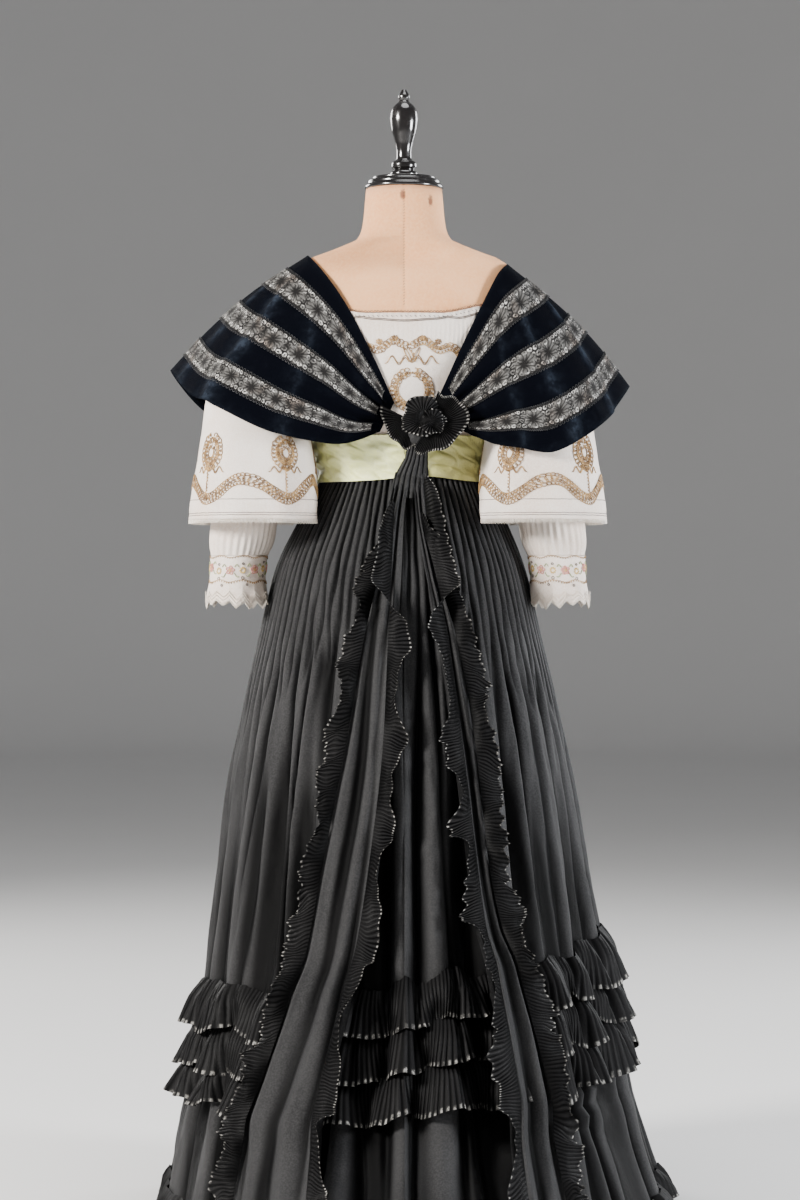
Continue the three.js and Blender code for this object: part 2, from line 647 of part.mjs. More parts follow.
// A ruffle along one edge of a sash end. outwards is -1 for its left edge and 1 for its right edge.
function addRuffle(name, side, outwards) {
  const isInner = (side === "left") === (outwards > 0);
  const rows = streamerEdges[side].slice(ruffleFirstRow);
  const heights = rows.slice(0, -1).flatMap(({ height }, index) => {
    const drop = height - rows[index + 1].height;
    const steps = Math.round(drop / ruffle.step);
    return evenSteps(steps).map((step) => height - (drop * step) / steps);
  });
  heights.push(rows.at(-1).height);
  const grid = (offset) =>
    [0, 1].map((outer) =>
      heights.map((height, step) => {
        const { from, to } = rowAtHeight(streamerEdges[side], height);
        const edge = outwards < 0 ? from : to;
        const { lift } = rowAtHeight(streamerLift, height);
        const lobes = 1 + 0.3 * Math.sin(height / 26 + (outwards < 0 ? 1 : 3.6));
        const wide = Math.min(ruffle.wide * lobes, isInner ? roomBetweenAt(height) : Infinity);
        const across = edge + outwards * (ruffle.fromEdge + outer * wide);
        const swing = (step % 2 ? 1 : -1) * ruffle.wave * outer;
        return overSkirtAt(across, height, lift + swing + offset);
      }),
    );
  addPiece(name, wallGeometry(grid(0), grid(-laceThickness), false), "silk");
}

// How far the body, sash or skirt reaches at a point's height and direction, with room to spare
function keepClear(point, room) {
  const turn = Math.atan2(point.x, -point.y);
  const below = point.z < waistHeight;
  const section = below ? rowAtHeight(skirtSections, point.z) : rowAtHeight(formSections, point.z);
  const side = below ? (point.x < 0 ? section.left : section.right) : Math.min(section.side, armPlateAcross);
  const depth = Math.cos(turn) > 0 ? section.back : section.front;
  const reach = 1 / Math.hypot(Math.sin(turn) / (side + room), Math.cos(turn) / (depth + room));
  const distance = Math.hypot(point.x, point.y);
  if (distance < reach) {
    point.x *= reach / distance;
    point.y *= reach / distance;
  }
  return point;
}

// Outer points of a sleeve tube. side is -1 for the left arm and 1 for the right.
function sleeveRings(rings, side, columns, squareness, gatherDepth, room) {
  return rings.map((ring, row) => {
    const shift = side > 0 ? rightSleeveShift * THREE.MathUtils.smoothstep(1275 - ring.height, 0, 150) : 0;
    const out = ring.out + shift;
    const lean = ring.lean * degree;
    return evenSteps(columns).map((column) => {
      const turn = (column / columns) * fullTurn;
      const gather = (column % 2 ? -gatherDepth : 0) * (row === 0 ? 0 : 1);
      const power = 2 / squareness;
      const round = (value) => Math.sign(value) * Math.abs(value) ** power;
      const tall = (ring.tall + gather) * round(Math.cos(turn));
      const fore = (ring.deep + gather) * round(Math.sin(turn));
      const outAt = out + tall * Math.cos(lean);
      const point = new THREE.Vector3(side * outAt, ring.fore + fore, ring.height + tall * Math.sin(lean));
      return row === 0 && ring.lean > 80 ? point : keepClear(point, room);
    });
  });
}

function sleeveCentre(rings, side) {
  return (point, row) => new THREE.Vector3(side * rings[row].out, rings[row].fore, rings[row].height);
}

function addSleeve(side, label) {
  const centred = (rings) => sleeveCentre(rings, side);
  const lower = sleeveRings(lowerSleeveRings, side, 16, 2, 2, 9);
  const lowerInner = innerPoints(lower, clothThickness, true, centred(lowerSleeveRings));
  lowerInner[0].forEach((point, column) => (point.x = lower[0][column].x)); // flat against the plate
  addPiece(`sleeve_${label}_lower`, wallGeometry(lower, lowerInner, true), "cream");
  const bell = sleeveRings(bellRings, side, 20, 2.4, 1.5, 12);
  const bellInner = innerPoints(bell, clothThickness, true, centred(bellRings));
  addPiece(`sleeve_${label}_bell`, wallGeometry(bell, bellInner, true), "cream");
  const cuff = sleeveRings(cuffRings, side, 16, 2, 0, 5);
  cuff.at(-1).forEach((point, column) => (point.z -= column % 2 ? cuffPointDrop : 0));
  const cuffInner = innerPoints(cuff, laceThickness, true, centred(cuffRings));
  addPiece(`cuff_${label}`, wallGeometry(cuff, cuffInner, true), "cream");
}

// A pleated fan that faces -Y, from one angle to another round its centre
function addFan(name, { x, y, z, radius, pleats, from, to, dish }) {
  const closedRound = to - from >= 360;
  const count = pleats * 2 + (closedRound ? 0 : 1);
  const rings = [0.24, 0.6, 1];
  const grid = (offset) =>
    rings.map((share) =>
      evenSteps(count).map((index) => {
        const angle = (from + ((to - from) * index) / (pleats * 2)) * degree;
        const swing = (index % 2 ? 1 : -1) * 3.2 * THREE.MathUtils.smoothstep(share, 0.3, 0.6);
        const reach = radius * share * (1 + 0.07 * Math.sin(3 * angle + 1));
        const out = dish * share ** 2 + swing + offset;
        return new THREE.Vector3(x + reach * Math.cos(angle), y - out, z + reach * Math.sin(angle));
      }),
    );
  addPiece(name, wallGeometry(grid(clothThickness), grid(0), closedRound), "silk");
}

// The knot of the sash: a crushed lump that the fans and the sash ends hang from
function addKnot() {
  const lines = [
    { y: -99.2, wide: 14, tall: 20 },
    { y: -112, wide: 19, tall: 26 },
    { y: -126, wide: 19, tall: 22 },
    { y: -131, wide: 14, tall: 15 },
  ];
  const knotColumns = 16;
  const points = [];
  const faces = [];
  const [knotX, knotZ] = [24, 1108];
  for (const { y, wide, tall } of lines) {
    for (const column of evenSteps(knotColumns)) {
      const angle = (column / knotColumns) * fullTurn;
      const crush = column % 2 ? 0.9 : 1;
      points.push(
        new THREE.Vector3(knotX + wide * crush * Math.cos(angle), y, knotZ + tall * crush * Math.sin(angle)),
      );
    }
  }
  const near = points.push(new THREE.Vector3(knotX, lines[0].y, knotZ)) - 1;
  const far = points.push(new THREE.Vector3(knotX, lines.at(-1).y, knotZ)) - 1;
  const lastRing = (lines.length - 1) * knotColumns;
  for (const column of evenSteps(knotColumns)) {
    const next = (column + 1) % knotColumns;
    faces.push(near, next, column, far, lastRing + column, lastRing + next);
    for (let ring = 0; ring < lastRing; ring += knotColumns) {
      const [a, b, c, d] = [ring + column, ring + next, ring + knotColumns + next, ring + knotColumns + column];
      faces.push(a, b, c, a, c, d);
    }
  }
  addPiece("sash_knot", closedGeometry(points, faces), "silk");
}

function addRosette() {
  addKnot();
  addFan("rosette_large", { x: 44, y: -131.4, z: 1113, radius: 43, pleats: 14, from: 0, to: 360, dish: 9 });
  addFan("rosette_left", { x: 6, y: -116, z: 1118, radius: 33, pleats: 6, from: 100, to: 262, dish: 4 });
}

addDressForm();
addStand();
addBodice();
addNeckEdging("neck_edging_back", 0);
addNeckEdging("neck_edging_front", formColumns / 2);
addSash();
addRosette();
addBertha("left");
addBertha("right");
addSleeve(-1, "left");
addSleeve(1, "right");
addSkirt();
addFrills();
addStreamer("left");
addStreamer("right");
addRuffle("ruffle_left_outer", "left", -1);
addRuffle("ruffle_left_inner", "left", 1);
addRuffle("ruffle_right_inner", "right", -1);
addRuffle("ruffle_right_outer", "right", 1);

export default dress;
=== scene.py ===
# Evening dress of about 1900 on a limbless dress form, seen from behind.
# The model is in metres; the tables are in millimetres, as a dressmaker would note them.
import json
import math
import bpy
import numpy as np
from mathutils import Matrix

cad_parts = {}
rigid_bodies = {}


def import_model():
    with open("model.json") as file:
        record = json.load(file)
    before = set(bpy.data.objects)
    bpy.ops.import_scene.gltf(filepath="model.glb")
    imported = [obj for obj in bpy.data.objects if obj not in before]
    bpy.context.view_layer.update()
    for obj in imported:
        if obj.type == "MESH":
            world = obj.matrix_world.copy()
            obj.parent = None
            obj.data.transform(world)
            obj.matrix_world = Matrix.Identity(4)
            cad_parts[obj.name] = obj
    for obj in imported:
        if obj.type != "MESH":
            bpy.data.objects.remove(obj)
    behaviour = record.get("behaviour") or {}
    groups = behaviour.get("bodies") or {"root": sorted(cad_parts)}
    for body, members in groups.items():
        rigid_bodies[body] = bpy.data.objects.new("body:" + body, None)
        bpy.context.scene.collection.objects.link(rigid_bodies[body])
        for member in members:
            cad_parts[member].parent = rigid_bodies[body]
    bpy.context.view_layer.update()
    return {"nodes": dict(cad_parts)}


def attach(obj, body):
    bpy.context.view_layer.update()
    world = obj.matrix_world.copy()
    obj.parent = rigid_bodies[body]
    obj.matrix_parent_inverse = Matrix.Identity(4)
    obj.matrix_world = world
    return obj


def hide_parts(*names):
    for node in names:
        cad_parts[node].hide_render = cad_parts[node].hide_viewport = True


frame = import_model()
mm = 0.001
degree = math.pi / 180
fullTurn = 2 * math.pi
print("frame loaded:", len(frame["nodes"]), "solids")

# The photograph's view: level, from behind, a little left of the middle
viewpoint = {
    "imageTall": 1200,  # pixels
    "metresPerPixel": 0.00145,  # at the dress form
    "distance": 4.5,
    "eyeHeight": 0.87,
    "across": -0.0058,
    "sensor": 36.0,
}


def setCamera(look):
    camera = bpy.data.cameras.new("photoCamera")
    camera.sensor_width = look["sensor"]
    camera.lens = look["sensor"] * look["distance"] / (look["imageTall"] * look["metresPerPixel"])
    camera.clip_end = 60
    holder = bpy.data.objects.new("photoCamera", camera)
    holder.location = (look["across"], -look["distance"], look["eyeHeight"])
    holder.rotation_euler = (math.pi / 2, 0, 0)
    bpy.context.scene.collection.objects.link(holder)
    bpy.context.scene.camera = holder


setCamera(viewpoint)


# Numbers and tables
def smoothStep(value, low, high):
    share = np.clip((value - low) / (high - low), 0, 1)
    return share * share * (3 - 2 * share)


def lerp(start, end, share):
    return start + (end - start) * share


def bell(away, width):  # a soft hump, 1 in the middle
    return np.exp(-((away / width) ** 2))


# Rows of values under the named keys
def tableOf(keys, *rows):
    return [dict(zip(keys.split(), row)) for row in rows]


# Heights may be an array; straight between the rows, which run from the top down
def tableAt(rows, key, heights):
    known = np.array([row["height"] for row in rows], float)[::-1]
    values = np.array([row[key] for row in rows], float)[::-1]
    return np.interp(heights, known, values)


# A smooth curve through values at rising known places, with no overshoot between them
def curveThrough(known, values, at):
    known = np.asarray(known, float)
    values = np.asarray(values, float)
    gap = np.diff(known)
    slope = np.diff(values) / gap
    tangent = np.empty_like(values)
    tangent[0], tangent[-1] = slope[0], slope[-1]
    same = slope[:-1] * slope[1:] > 0
    weightA, weightB = 2 * gap[1:] + gap[:-1], gap[1:] + 2 * gap[:-1]
    safe = np.where(same, slope[:-1], 1), np.where(same, slope[1:], 1)
    tangent[1:-1] = np.where(same, (weightA + weightB) / (weightA / safe[0] + weightB / safe[1]), 0)
    at = np.clip(at, known[0], known[-1])
    cell = np.clip(np.searchsorted(known, at, side="right") - 1, 0, len(gap) - 1)
    share = (at - known[cell]) / gap[cell]
    low, high = values[cell], values[cell + 1]
    start, end = tangent[cell] * gap[cell], tangent[cell + 1] * gap[cell]
    square, cube = share ** 2, share ** 3
    return (
        low * (2 * cube - 3 * square + 1) + high * (3 * square - 2 * cube)
        + start * (cube - 2 * square + share) + end * (cube - square)
    )


def smoothTable(rows, key, heights):
    known = [row["height"] for row in rows][::-1]
    values = [row[key] for row in rows][::-1]
    return curveThrough(known, values, heights)


# Soft noise from a few sine waves, about -1 to 1, the same on each run
def unevenness(seed, across, down, waves=4):
    draw = np.random.default_rng(seed)
    total = 0
    for _ in range(waves):
        phase = draw.uniform(0, fullTurn, 2)
        rate = draw.uniform(0.6, 1.6, 2)
        total = total + np.sin(across * rate[0] + phase[0]) * np.cos(down * rate[1] + phase[1])
    return total / waves ** 0.5


# Meshes
def gridFaces(rows, columns, closedRound):
    spans = columns if closedRound else columns - 1
    row, column = np.meshgrid(np.arange(rows - 1), np.arange(spans), indexing="ij")
    row, column = row.ravel(), column.ravel()
    after = (column + 1) % columns
    upper, lower = row * columns, (row + 1) * columns
    return np.stack([upper + column, lower + column, lower + after, upper + after], axis=1)


# u and v at the four corners of each face of a grid
def cornerUvs(u, v, rows, spans):
    row, column = np.meshgrid(np.arange(rows - 1), np.arange(spans), indexing="ij")
    row, column = row.ravel(), column.ravel()
    corners = [(row, column), (row + 1, column), (row + 1, column + 1), (row, column + 1)]
    return np.stack([np.stack([u[r, c], v[r, c]], axis=1) for r, c in corners], axis=1)


def setUvs(mesh, uvs):
    layer = mesh.uv_layers.new(name="cloth")
    layer.data.foreach_set("uv", np.asarray(uvs, np.float32).ravel())


# A smooth mesh object that rides on the one body and stands for its solids
def placeMesh(name, points, faces, material, nodes=(), uvs=None):
    mesh = bpy.data.meshes.new(name)
    faces = faces.tolist() if isinstance(faces, np.ndarray) else faces
    mesh.from_pydata(np.asarray(points, float).reshape(-1, 3).tolist(), [], faces)
    mesh.polygons.foreach_set("use_smooth", [True] * len(mesh.polygons))
    if uvs is not None:
        setUvs(mesh, uvs)
    mesh.materials.append(material)
    mesh.update()
    piece = bpy.data.objects.new(name, mesh)
    bpy.context.scene.collection.objects.link(piece)
    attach(piece, "root")
    if nodes:
        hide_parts(*nodes)
    return piece


# A cloth sheet from rows of points. u and v are metres across and down the cloth.
# The thickness is added on the inner side.
def placeGrid(name, points, material, nodes=(), closedRound=False, u=None, v=None, thickness=0.0):
    rows, columns = points.shape[:2]
    faces = gridFaces(rows, columns, closedRound)
    uvs = None if u is None else cornerUvs(u, v, rows, columns if closedRound else columns - 1)
    piece = placeMesh(name, points, faces, material, nodes, uvs)
    if thickness:
        shell = piece.modifiers.new("thickness", "SOLIDIFY")
        shell.thickness = thickness
        shell.offset = -1
        shell.use_quality_normals = True
    return piece


# A value at each point of the mesh, which a material reads by its name
def markPoints(piece, name, values):
    layer = piece.data.attributes.new(name, "FLOAT", "POINT")
    layer.data.foreach_set("value", np.clip(values, 0, 1).astype(np.float32).ravel())


# Metres across and down the cloth at each point, for the weave. One column more if closed.
def clothLengths(points, closedRound=False):
    if closedRound:
        points = np.concatenate([points, points[:, :1]], axis=1)
    across = np.zeros(points.shape[:2])
    across[:, 1:] = np.cumsum(np.linalg.norm(np.diff(points, axis=1), axis=2), axis=1)
    down = np.zeros(points.shape[:2])
    down[1:] = np.cumsum(np.linalg.norm(np.diff(points, axis=0), axis=2), axis=0)
    return across, down


def sheetArea(points, closedRound=False):
    if closedRound:
        points = np.concatenate([points, points[:, :1]], axis=1)
    across = np.diff(points, axis=1)[:-1]
    down = np.diff(points, axis=0)[:, :-1]
    return float(np.linalg.norm(np.cross(across, down), axis=2).sum())


# Works out a cut as wide and as long as given, or longer where the cloth that shows needs more; the result is
# not kept
def declareSheet(points, wide, tall, closedRound=False):
    surface = sheetArea(points, closedRound)
    wide = round(wide + 0.001, 3)
    tall = round(max(tall, surface / wide) + 0.001, 3)


# A cloth sheet whose cut is its own longest run across and down
def placeCloth(name, points, material, nodes, closedRound=False, thickness=0.0):
    u, v = clothLengths(points, closedRound)
    piece = placeGrid(name, points, material, nodes, closedRound, u, v, thickness)
    declareSheet(points, float(u.max()), float(v.max()), closedRound)
    return piece


# Tubes along several open paths in one mesh: points and faces, with closed ends
def tubeMesh(paths, radius, sides=5):
    points, faces, base = [], [], 0
    angles = np.arange(sides) / sides * fullTurn
    for path in paths:
        path = np.asarray(path, float)
        tangent = np.gradient(path, axis=0)
        tangent /= np.maximum(np.linalg.norm(tangent, axis=1, keepdims=True), 1e-12)
        guide = np.array([0.31, 0.83, 0.46])
        first = np.cross(tangent, guide)
        first /= np.maximum(np.linalg.norm(first, axis=1, keepdims=True), 1e-12)
        second = np.cross(tangent, first)
        ring = (
            path[:, None] + radius * np.cos(angles)[None, :, None] * first[:, None]
            + radius * np.sin(angles)[None, :, None] * second[:, None]
        )
        count = len(path)
        points.append(ring.reshape(-1, 3))
        faces += (gridFaces(count, sides, True)[:, ::-1] + base).tolist()
        faces.append([base + index for index in range(sides)])
        faces.append([base + (count - 1) * sides + index for index in reversed(range(sides))])
        base += count * sides
    return np.concatenate(points), faces


def placeTubes(name, paths, radius, material, sides=5):
    points, faces = tubeMesh(paths, radius, sides)
    return placeMesh(name, points, faces, material)


# Materials. Colours are linear.
def startMaterial(name, **values):
    material = bpy.data.materials.new(name)
    material.use_nodes = True
    shader = material.node_tree.nodes["Principled BSDF"]
    for key, value in values.items():
        socket = shader.inputs[socketNames[key]]
        socket.default_value = (*value, 1) if isinstance(value, tuple) else value
    return material, material.node_tree, shader


socketNames = {
    "colour": "Base Color",
    "roughness": "Roughness",
    "metallic": "Metallic",
    "specular": "Specular IOR Level",
    "sheen": "Sheen Weight",
    "sheenRoughness": "Sheen Roughness",
    "sheenTint": "Sheen Tint",
    "coat": "Coat Weight",
    "coatRoughness": "Coat Roughness",
}


def addNode(tree, kind, values=None, **settings):
    node = tree.nodes.new("ShaderNode" + kind)
    for key, value in settings.items():
        setattr(node, key, value)
    for key, value in (values or {}).items():
        colour = isinstance(value, tuple) and len(value) == 3
        node.inputs[key].default_value = (*value, 1) if colour else value
    return node


def join(tree, source, output, target, socket):
    tree.links.new(source.outputs[output], target.inputs[socket])


# A maths node; each input is a number or a node's output socket
def doMath(tree, operation, first, second=None, third=None):
    node = addNode(tree, "Math", operation=operation)
    for index, value in enumerate((first, second, third)):
        if isinstance(value, (int, float)):
            node.inputs[index].default_value = value
        elif value is not None:
            tree.links.new(value, node.inputs[index])
    return node.outputs[0]


def times(tree, first, second):
    return doMath(tree, "MULTIPLY", first, second)


def plus(tree, first, second):
    return doMath(tree, "ADD", first, second)


def minus(tree, first, second):
    return doMath(tree, "SUBTRACT", first, second)


def scaled(tree, value, factor, offset):
    return doMath(tree, "MULTIPLY_ADD", value, factor, offset)


def sizeOf(tree, value):
    return doMath(tree, "ABSOLUTE", value)


# The distance from the middle
def lengthOf(tree, across, up):
    return doMath(tree, "SQRT", plus(tree, times(tree, across, across), times(tree, up, up)))


# The X, Y and Z of a place
def partsOf(tree, source):
    node = addNode(tree, "SeparateXYZ")
    tree.links.new(source, node.inputs[0])
    return node.outputs


def paint(tree, shader, colour):
    tree.links.new(colour, shader.inputs["Base Color"])


def mixColours(tree, share, first, second):
    node = addNode(tree, "Mix", data_type="RGBA")
    for socket, value in ((node.inputs[0], share), (node.inputs[6], first), (node.inputs[7], second)):
        if isinstance(value, tuple):
            socket.default_value = (*value, 1)
        elif isinstance(value, (int, float)):
            socket.default_value = value
        else:
            tree.links.new(value, socket)
    return node.outputs[2]


def noiseOf(tree, source, scale, detail=3.0, roughness=0.5):
    node = addNode(tree, "TexNoise", {"Scale": scale, "Detail": detail, "Roughness": roughness})
    tree.links.new(source, node.inputs["Vector"])
    return node.outputs["Fac"]


def stepBetween(tree, value, low, high):
    node = addNode(tree, "MapRange", {"From Min": low, "From Max": high}, interpolation_type="SMOOTHSTEP")
    tree.links.new(value, node.inputs["Value"])
    return node.outputs["Result"]


# A plain weave's height, from the cloth's lengths in metres
def weaveOf(tree, uv, threads):
    waves = []
    for direction in ("X", "Y"):
        wave = addNode(tree, "TexWave", {"Scale": threads * 0.314, "Distortion": 0.6, "Detail": 1.0})
        wave.bands_direction = direction
        tree.links.new(uv, wave.inputs["Vector"])
        waves.append(wave.outputs["Fac"])
    return plus(tree, *waves)


def bumpOf(tree, shader, height, depth, after=None):
    bump = addNode(tree, "Bump", {"Strength": 1.0, "Distance": depth})
    tree.links.new(height, bump.inputs["Height"])
    if after is not None:
        join(tree, after, "Normal", bump, "Normal")
    join(tree, bump, "Normal", shader, "Normal")
    return bump


def placeOf(tree, kind="Object"):
    return addNode(tree, "TexCoord").outputs[kind]


# Plain woven cloth: soft blotches of colour, a weave, and small creases as bump
def clothMaterial(name, look):
    material, tree, shader = startMaterial(
        name, roughness=look["roughness"], specular=look["specular"], sheen=look["sheen"],
        sheenRoughness=look["sheenRoughness"], sheenTint=look["sheenTint"],
    )
    place = placeOf(tree)
    blotch = stepBetween(tree, noiseOf(tree, place, look["blotchScale"], 4), 0.35, 0.7)
    colour = mixColours(tree, blotch, look["colour"], look["blotch"])
    fibre = noiseOf(tree, place, look["fibreScale"], 2)
    shade = stepBetween(tree, fibre, 0.3, 0.75)
    colour = mixColours(tree, times(tree, shade, look["fibreShare"]), colour, look["fibre"])
    paint(tree, shader, colour)
    roughness = scaled(tree, fibre, 0.16, look["roughness"] - 0.08)
    tree.links.new(roughness, shader.inputs["Roughness"])
    crease = bumpOf(tree, shader, noiseOf(tree, place, look["creaseScale"], 5, 0.6), look["creaseDepth"])
    bumpOf(tree, shader, weaveOf(tree, placeOf(tree, "UV"), look["threads"]), look["weaveDepth"], crease)
    return material, tree, shader, colour


silkLook = {
    "colour": (0.0255, 0.0255, 0.0263), "blotch": (0.0165, 0.0165, 0.0172), "blotchScale": 9,
    "fibre": (0.05, 0.0495, 0.05), "fibreScale": 420, "fibreShare": 0.5,
    "roughness": 0.5, "specular": 0.06,
    "sheen": 0.02, "sheenRoughness": 0.35, "sheenTint": (0.75, 0.77, 0.82),
    "creaseScale": 55, "creaseDepth": 0.0011, "threads": 900, "weaveDepth": 0.00012,
    # deep is the painted shade's colour in the folds
    "deep": (0.0006, 0.0006, 0.0007), "paintedShadeShare": 0.96,
}


# Painted shade: the silk's colour is darkened towards the deep colour in its folds, which the mesh marks as
# hollow
def paintShadeInHollows(tree, shader, colour, look):
    hollow = addNode(tree, "Attribute", attribute_name="hollow").outputs["Fac"]
    share = times(tree, hollow, look["paintedShadeShare"])
    paint(tree, shader, mixColours(tree, share, colour, look["deep"]))


def silkMaterial(look):
    material, tree, shader, colour = clothMaterial("blackSilkCrepe", look)
    paintShadeInHollows(tree, shader, colour, look)
    return material


silk = silkMaterial(silkLook)

creamLook = {
    "colour": (0.78, 0.69, 0.61), "blotch": (0.72, 0.59, 0.49), "blotchScale": 14,
    "fibre": (0.86, 0.82, 0.78), "fibreScale": 500, "fibreShare": 0.5,
    "roughness": 0.62, "specular": 0.35, "sheen": 0.15, "sheenRoughness": 0.5, "sheenTint": (1.0, 0.97, 0.92),
    "creaseScale": 70, "creaseDepth": 0.0012, "threads": 1100, "weaveDepth": 0.00008,
}
cream = clothMaterial("creamSilk", creamLook)[0]

linenLook = {
    "colour": (0.86, 0.43, 0.20), "blotch": (0.80, 0.36, 0.15), "blotchScale": 11,
    "fibre": (0.86, 0.52, 0.28), "fibreScale": 260, "fibreShare": 0.45,
    "roughness": 0.78, "specular": 0.25, "sheen": 0.1, "sheenRoughness": 0.6, "sheenTint": (1.0, 0.9, 0.8),
    "creaseScale": 45, "creaseDepth": 0.0004, "threads": 620, "weaveDepth": 0.00022,
}
# Rust marks by the neck seam: centre across and up, and half sizes, in millimetres
rustMarks = tableOf(
    "across up wide tall",
    (-2, 1451, 4.5, 7.5),
    (38, 1444, 3.5, 9),
)


def linenMaterial():
    material, tree, shader, colour = clothMaterial("agedLinen", linenLook)
    place = partsOf(tree, placeOf(tree))
    ragged = noiseOf(tree, placeOf(tree), 260, 4, 0.7)
    behind = doMath(tree, "LESS_THAN", place["Y"], 0)
    for mark in rustMarks:
        across = doMath(tree, "DIVIDE", minus(tree, place["X"], mark["across"] * mm), mark["wide"] * mm)
        up = doMath(tree, "DIVIDE", minus(tree, place["Z"], mark["up"] * mm), mark["tall"] * mm)
        away = plus(tree, times(tree, across, across), times(tree, up, up))
        away = scaled(tree, ragged, 1.6, away)
        inside = times(tree, minus(tree, 1.0, stepBetween(tree, away, 0.9, 2.1)), behind)
        colour = mixColours(tree, times(tree, inside, 0.85), colour, (0.16, 0.045, 0.022))
    # the cover is greyer and darker towards the cap
    low = stepBetween(tree, place["Z"], 1.445, 1.468)
    colour = mixColours(tree, times(tree, low, 0.35), colour, (0.5, 0.27, 0.17))
    paint(tree, shader, colour)
    return material


linen = linenMaterial()

satinLook = {
    "colour": (0.95, 0.98, 0.45), "blotch": (0.84, 0.88, 0.32), "blotchScale": 24,
    "fibre": (0.86, 0.87, 0.60), "fibreScale": 600, "fibreShare": 0.5,
    # olive is the colour of the painted shade on the right of the back
    "shadedOlive": (0.36, 0.33, 0.09), "shadedOliveShare": 0.8,
    "roughness": 0.36, "specular": 0.6, "sheen": 0.1, "sheenRoughness": 0.4, "sheenTint": (1.0, 1.0, 0.85),
    "creaseScale": 85, "creaseDepth": 0.0022, "threads": 1400, "weaveDepth": 0.00005,
}


# Painted shade: the satin is painted a darker olive on the right of the back, and stays pale lime on the left
def satinMaterial(look):
    material, tree, shader, colour = clothMaterial("limeSatin", look)
    place = partsOf(tree, placeOf(tree))
    shadedRight = times(tree, stepBetween(tree, place["X"], -0.03, 0.05), look["shadedOliveShare"])
    paint(tree, shader, mixColours(tree, shadedRight, colour, look["shadedOlive"]))
    return material


satin = satinMaterial(satinLook)

velvetLook = {
    "colour": (0.0008, 0.0011, 0.0026), "lit": (0.022, 0.029, 0.042), "roughness": 0.92, "specular": 0.03,
    "sheen": 0.06, "sheenRoughness": 0.3, "sheenTint": (0.11, 0.14, 0.2), "pile": 900, "patch": 34,
}


# Painted sheen: the pile's colour goes pale towards lit along the creases and edges that the mesh marks, and
# a little in random patches
def velvetMaterial(look):
    material, tree, shader = startMaterial(
        "navyVelvet", roughness=look["roughness"], specular=look["specular"], sheen=look["sheen"],
        sheenRoughness=look["sheenRoughness"], sheenTint=look["sheenTint"],
    )
    place = placeOf(tree)
    creaseSheen = addNode(tree, "Attribute", attribute_name="creaseSheen").outputs["Fac"]
    patch = stepBetween(tree, noiseOf(tree, place, look["patch"], 5, 0.65), 0.5, 0.85)
    grain = noiseOf(tree, place, look["pile"], 2)
    broken = scaled(tree, stepBetween(tree, noiseOf(tree, place, 75, 4, 0.7), 0.4, 0.62), 0.75, 0.25)
    share = scaled(tree, patch, 0.14, times(tree, creaseSheen, broken))
    share = times(tree, share, scaled(tree, grain, 0.9, 0.45))
    paint(tree, shader, mixColours(tree, share, look["colour"], look["lit"]))
    bumpOf(tree, shader, grain, 0.0006)
    return material


velvet = velvetMaterial(velvetLook)

laceLook = {
    "ground": (0.006, 0.0055, 0.0055), "net": (0.034, 0.031, 0.029), "flower": (0.86, 0.84, 0.80),
    "warm": (0.30, 0.20, 0.14), "middleRings": 0.22, "ringRows": 4.2,
    "medallionEvery": 1.35, "medallion": 0.31, "petals": 7,
}


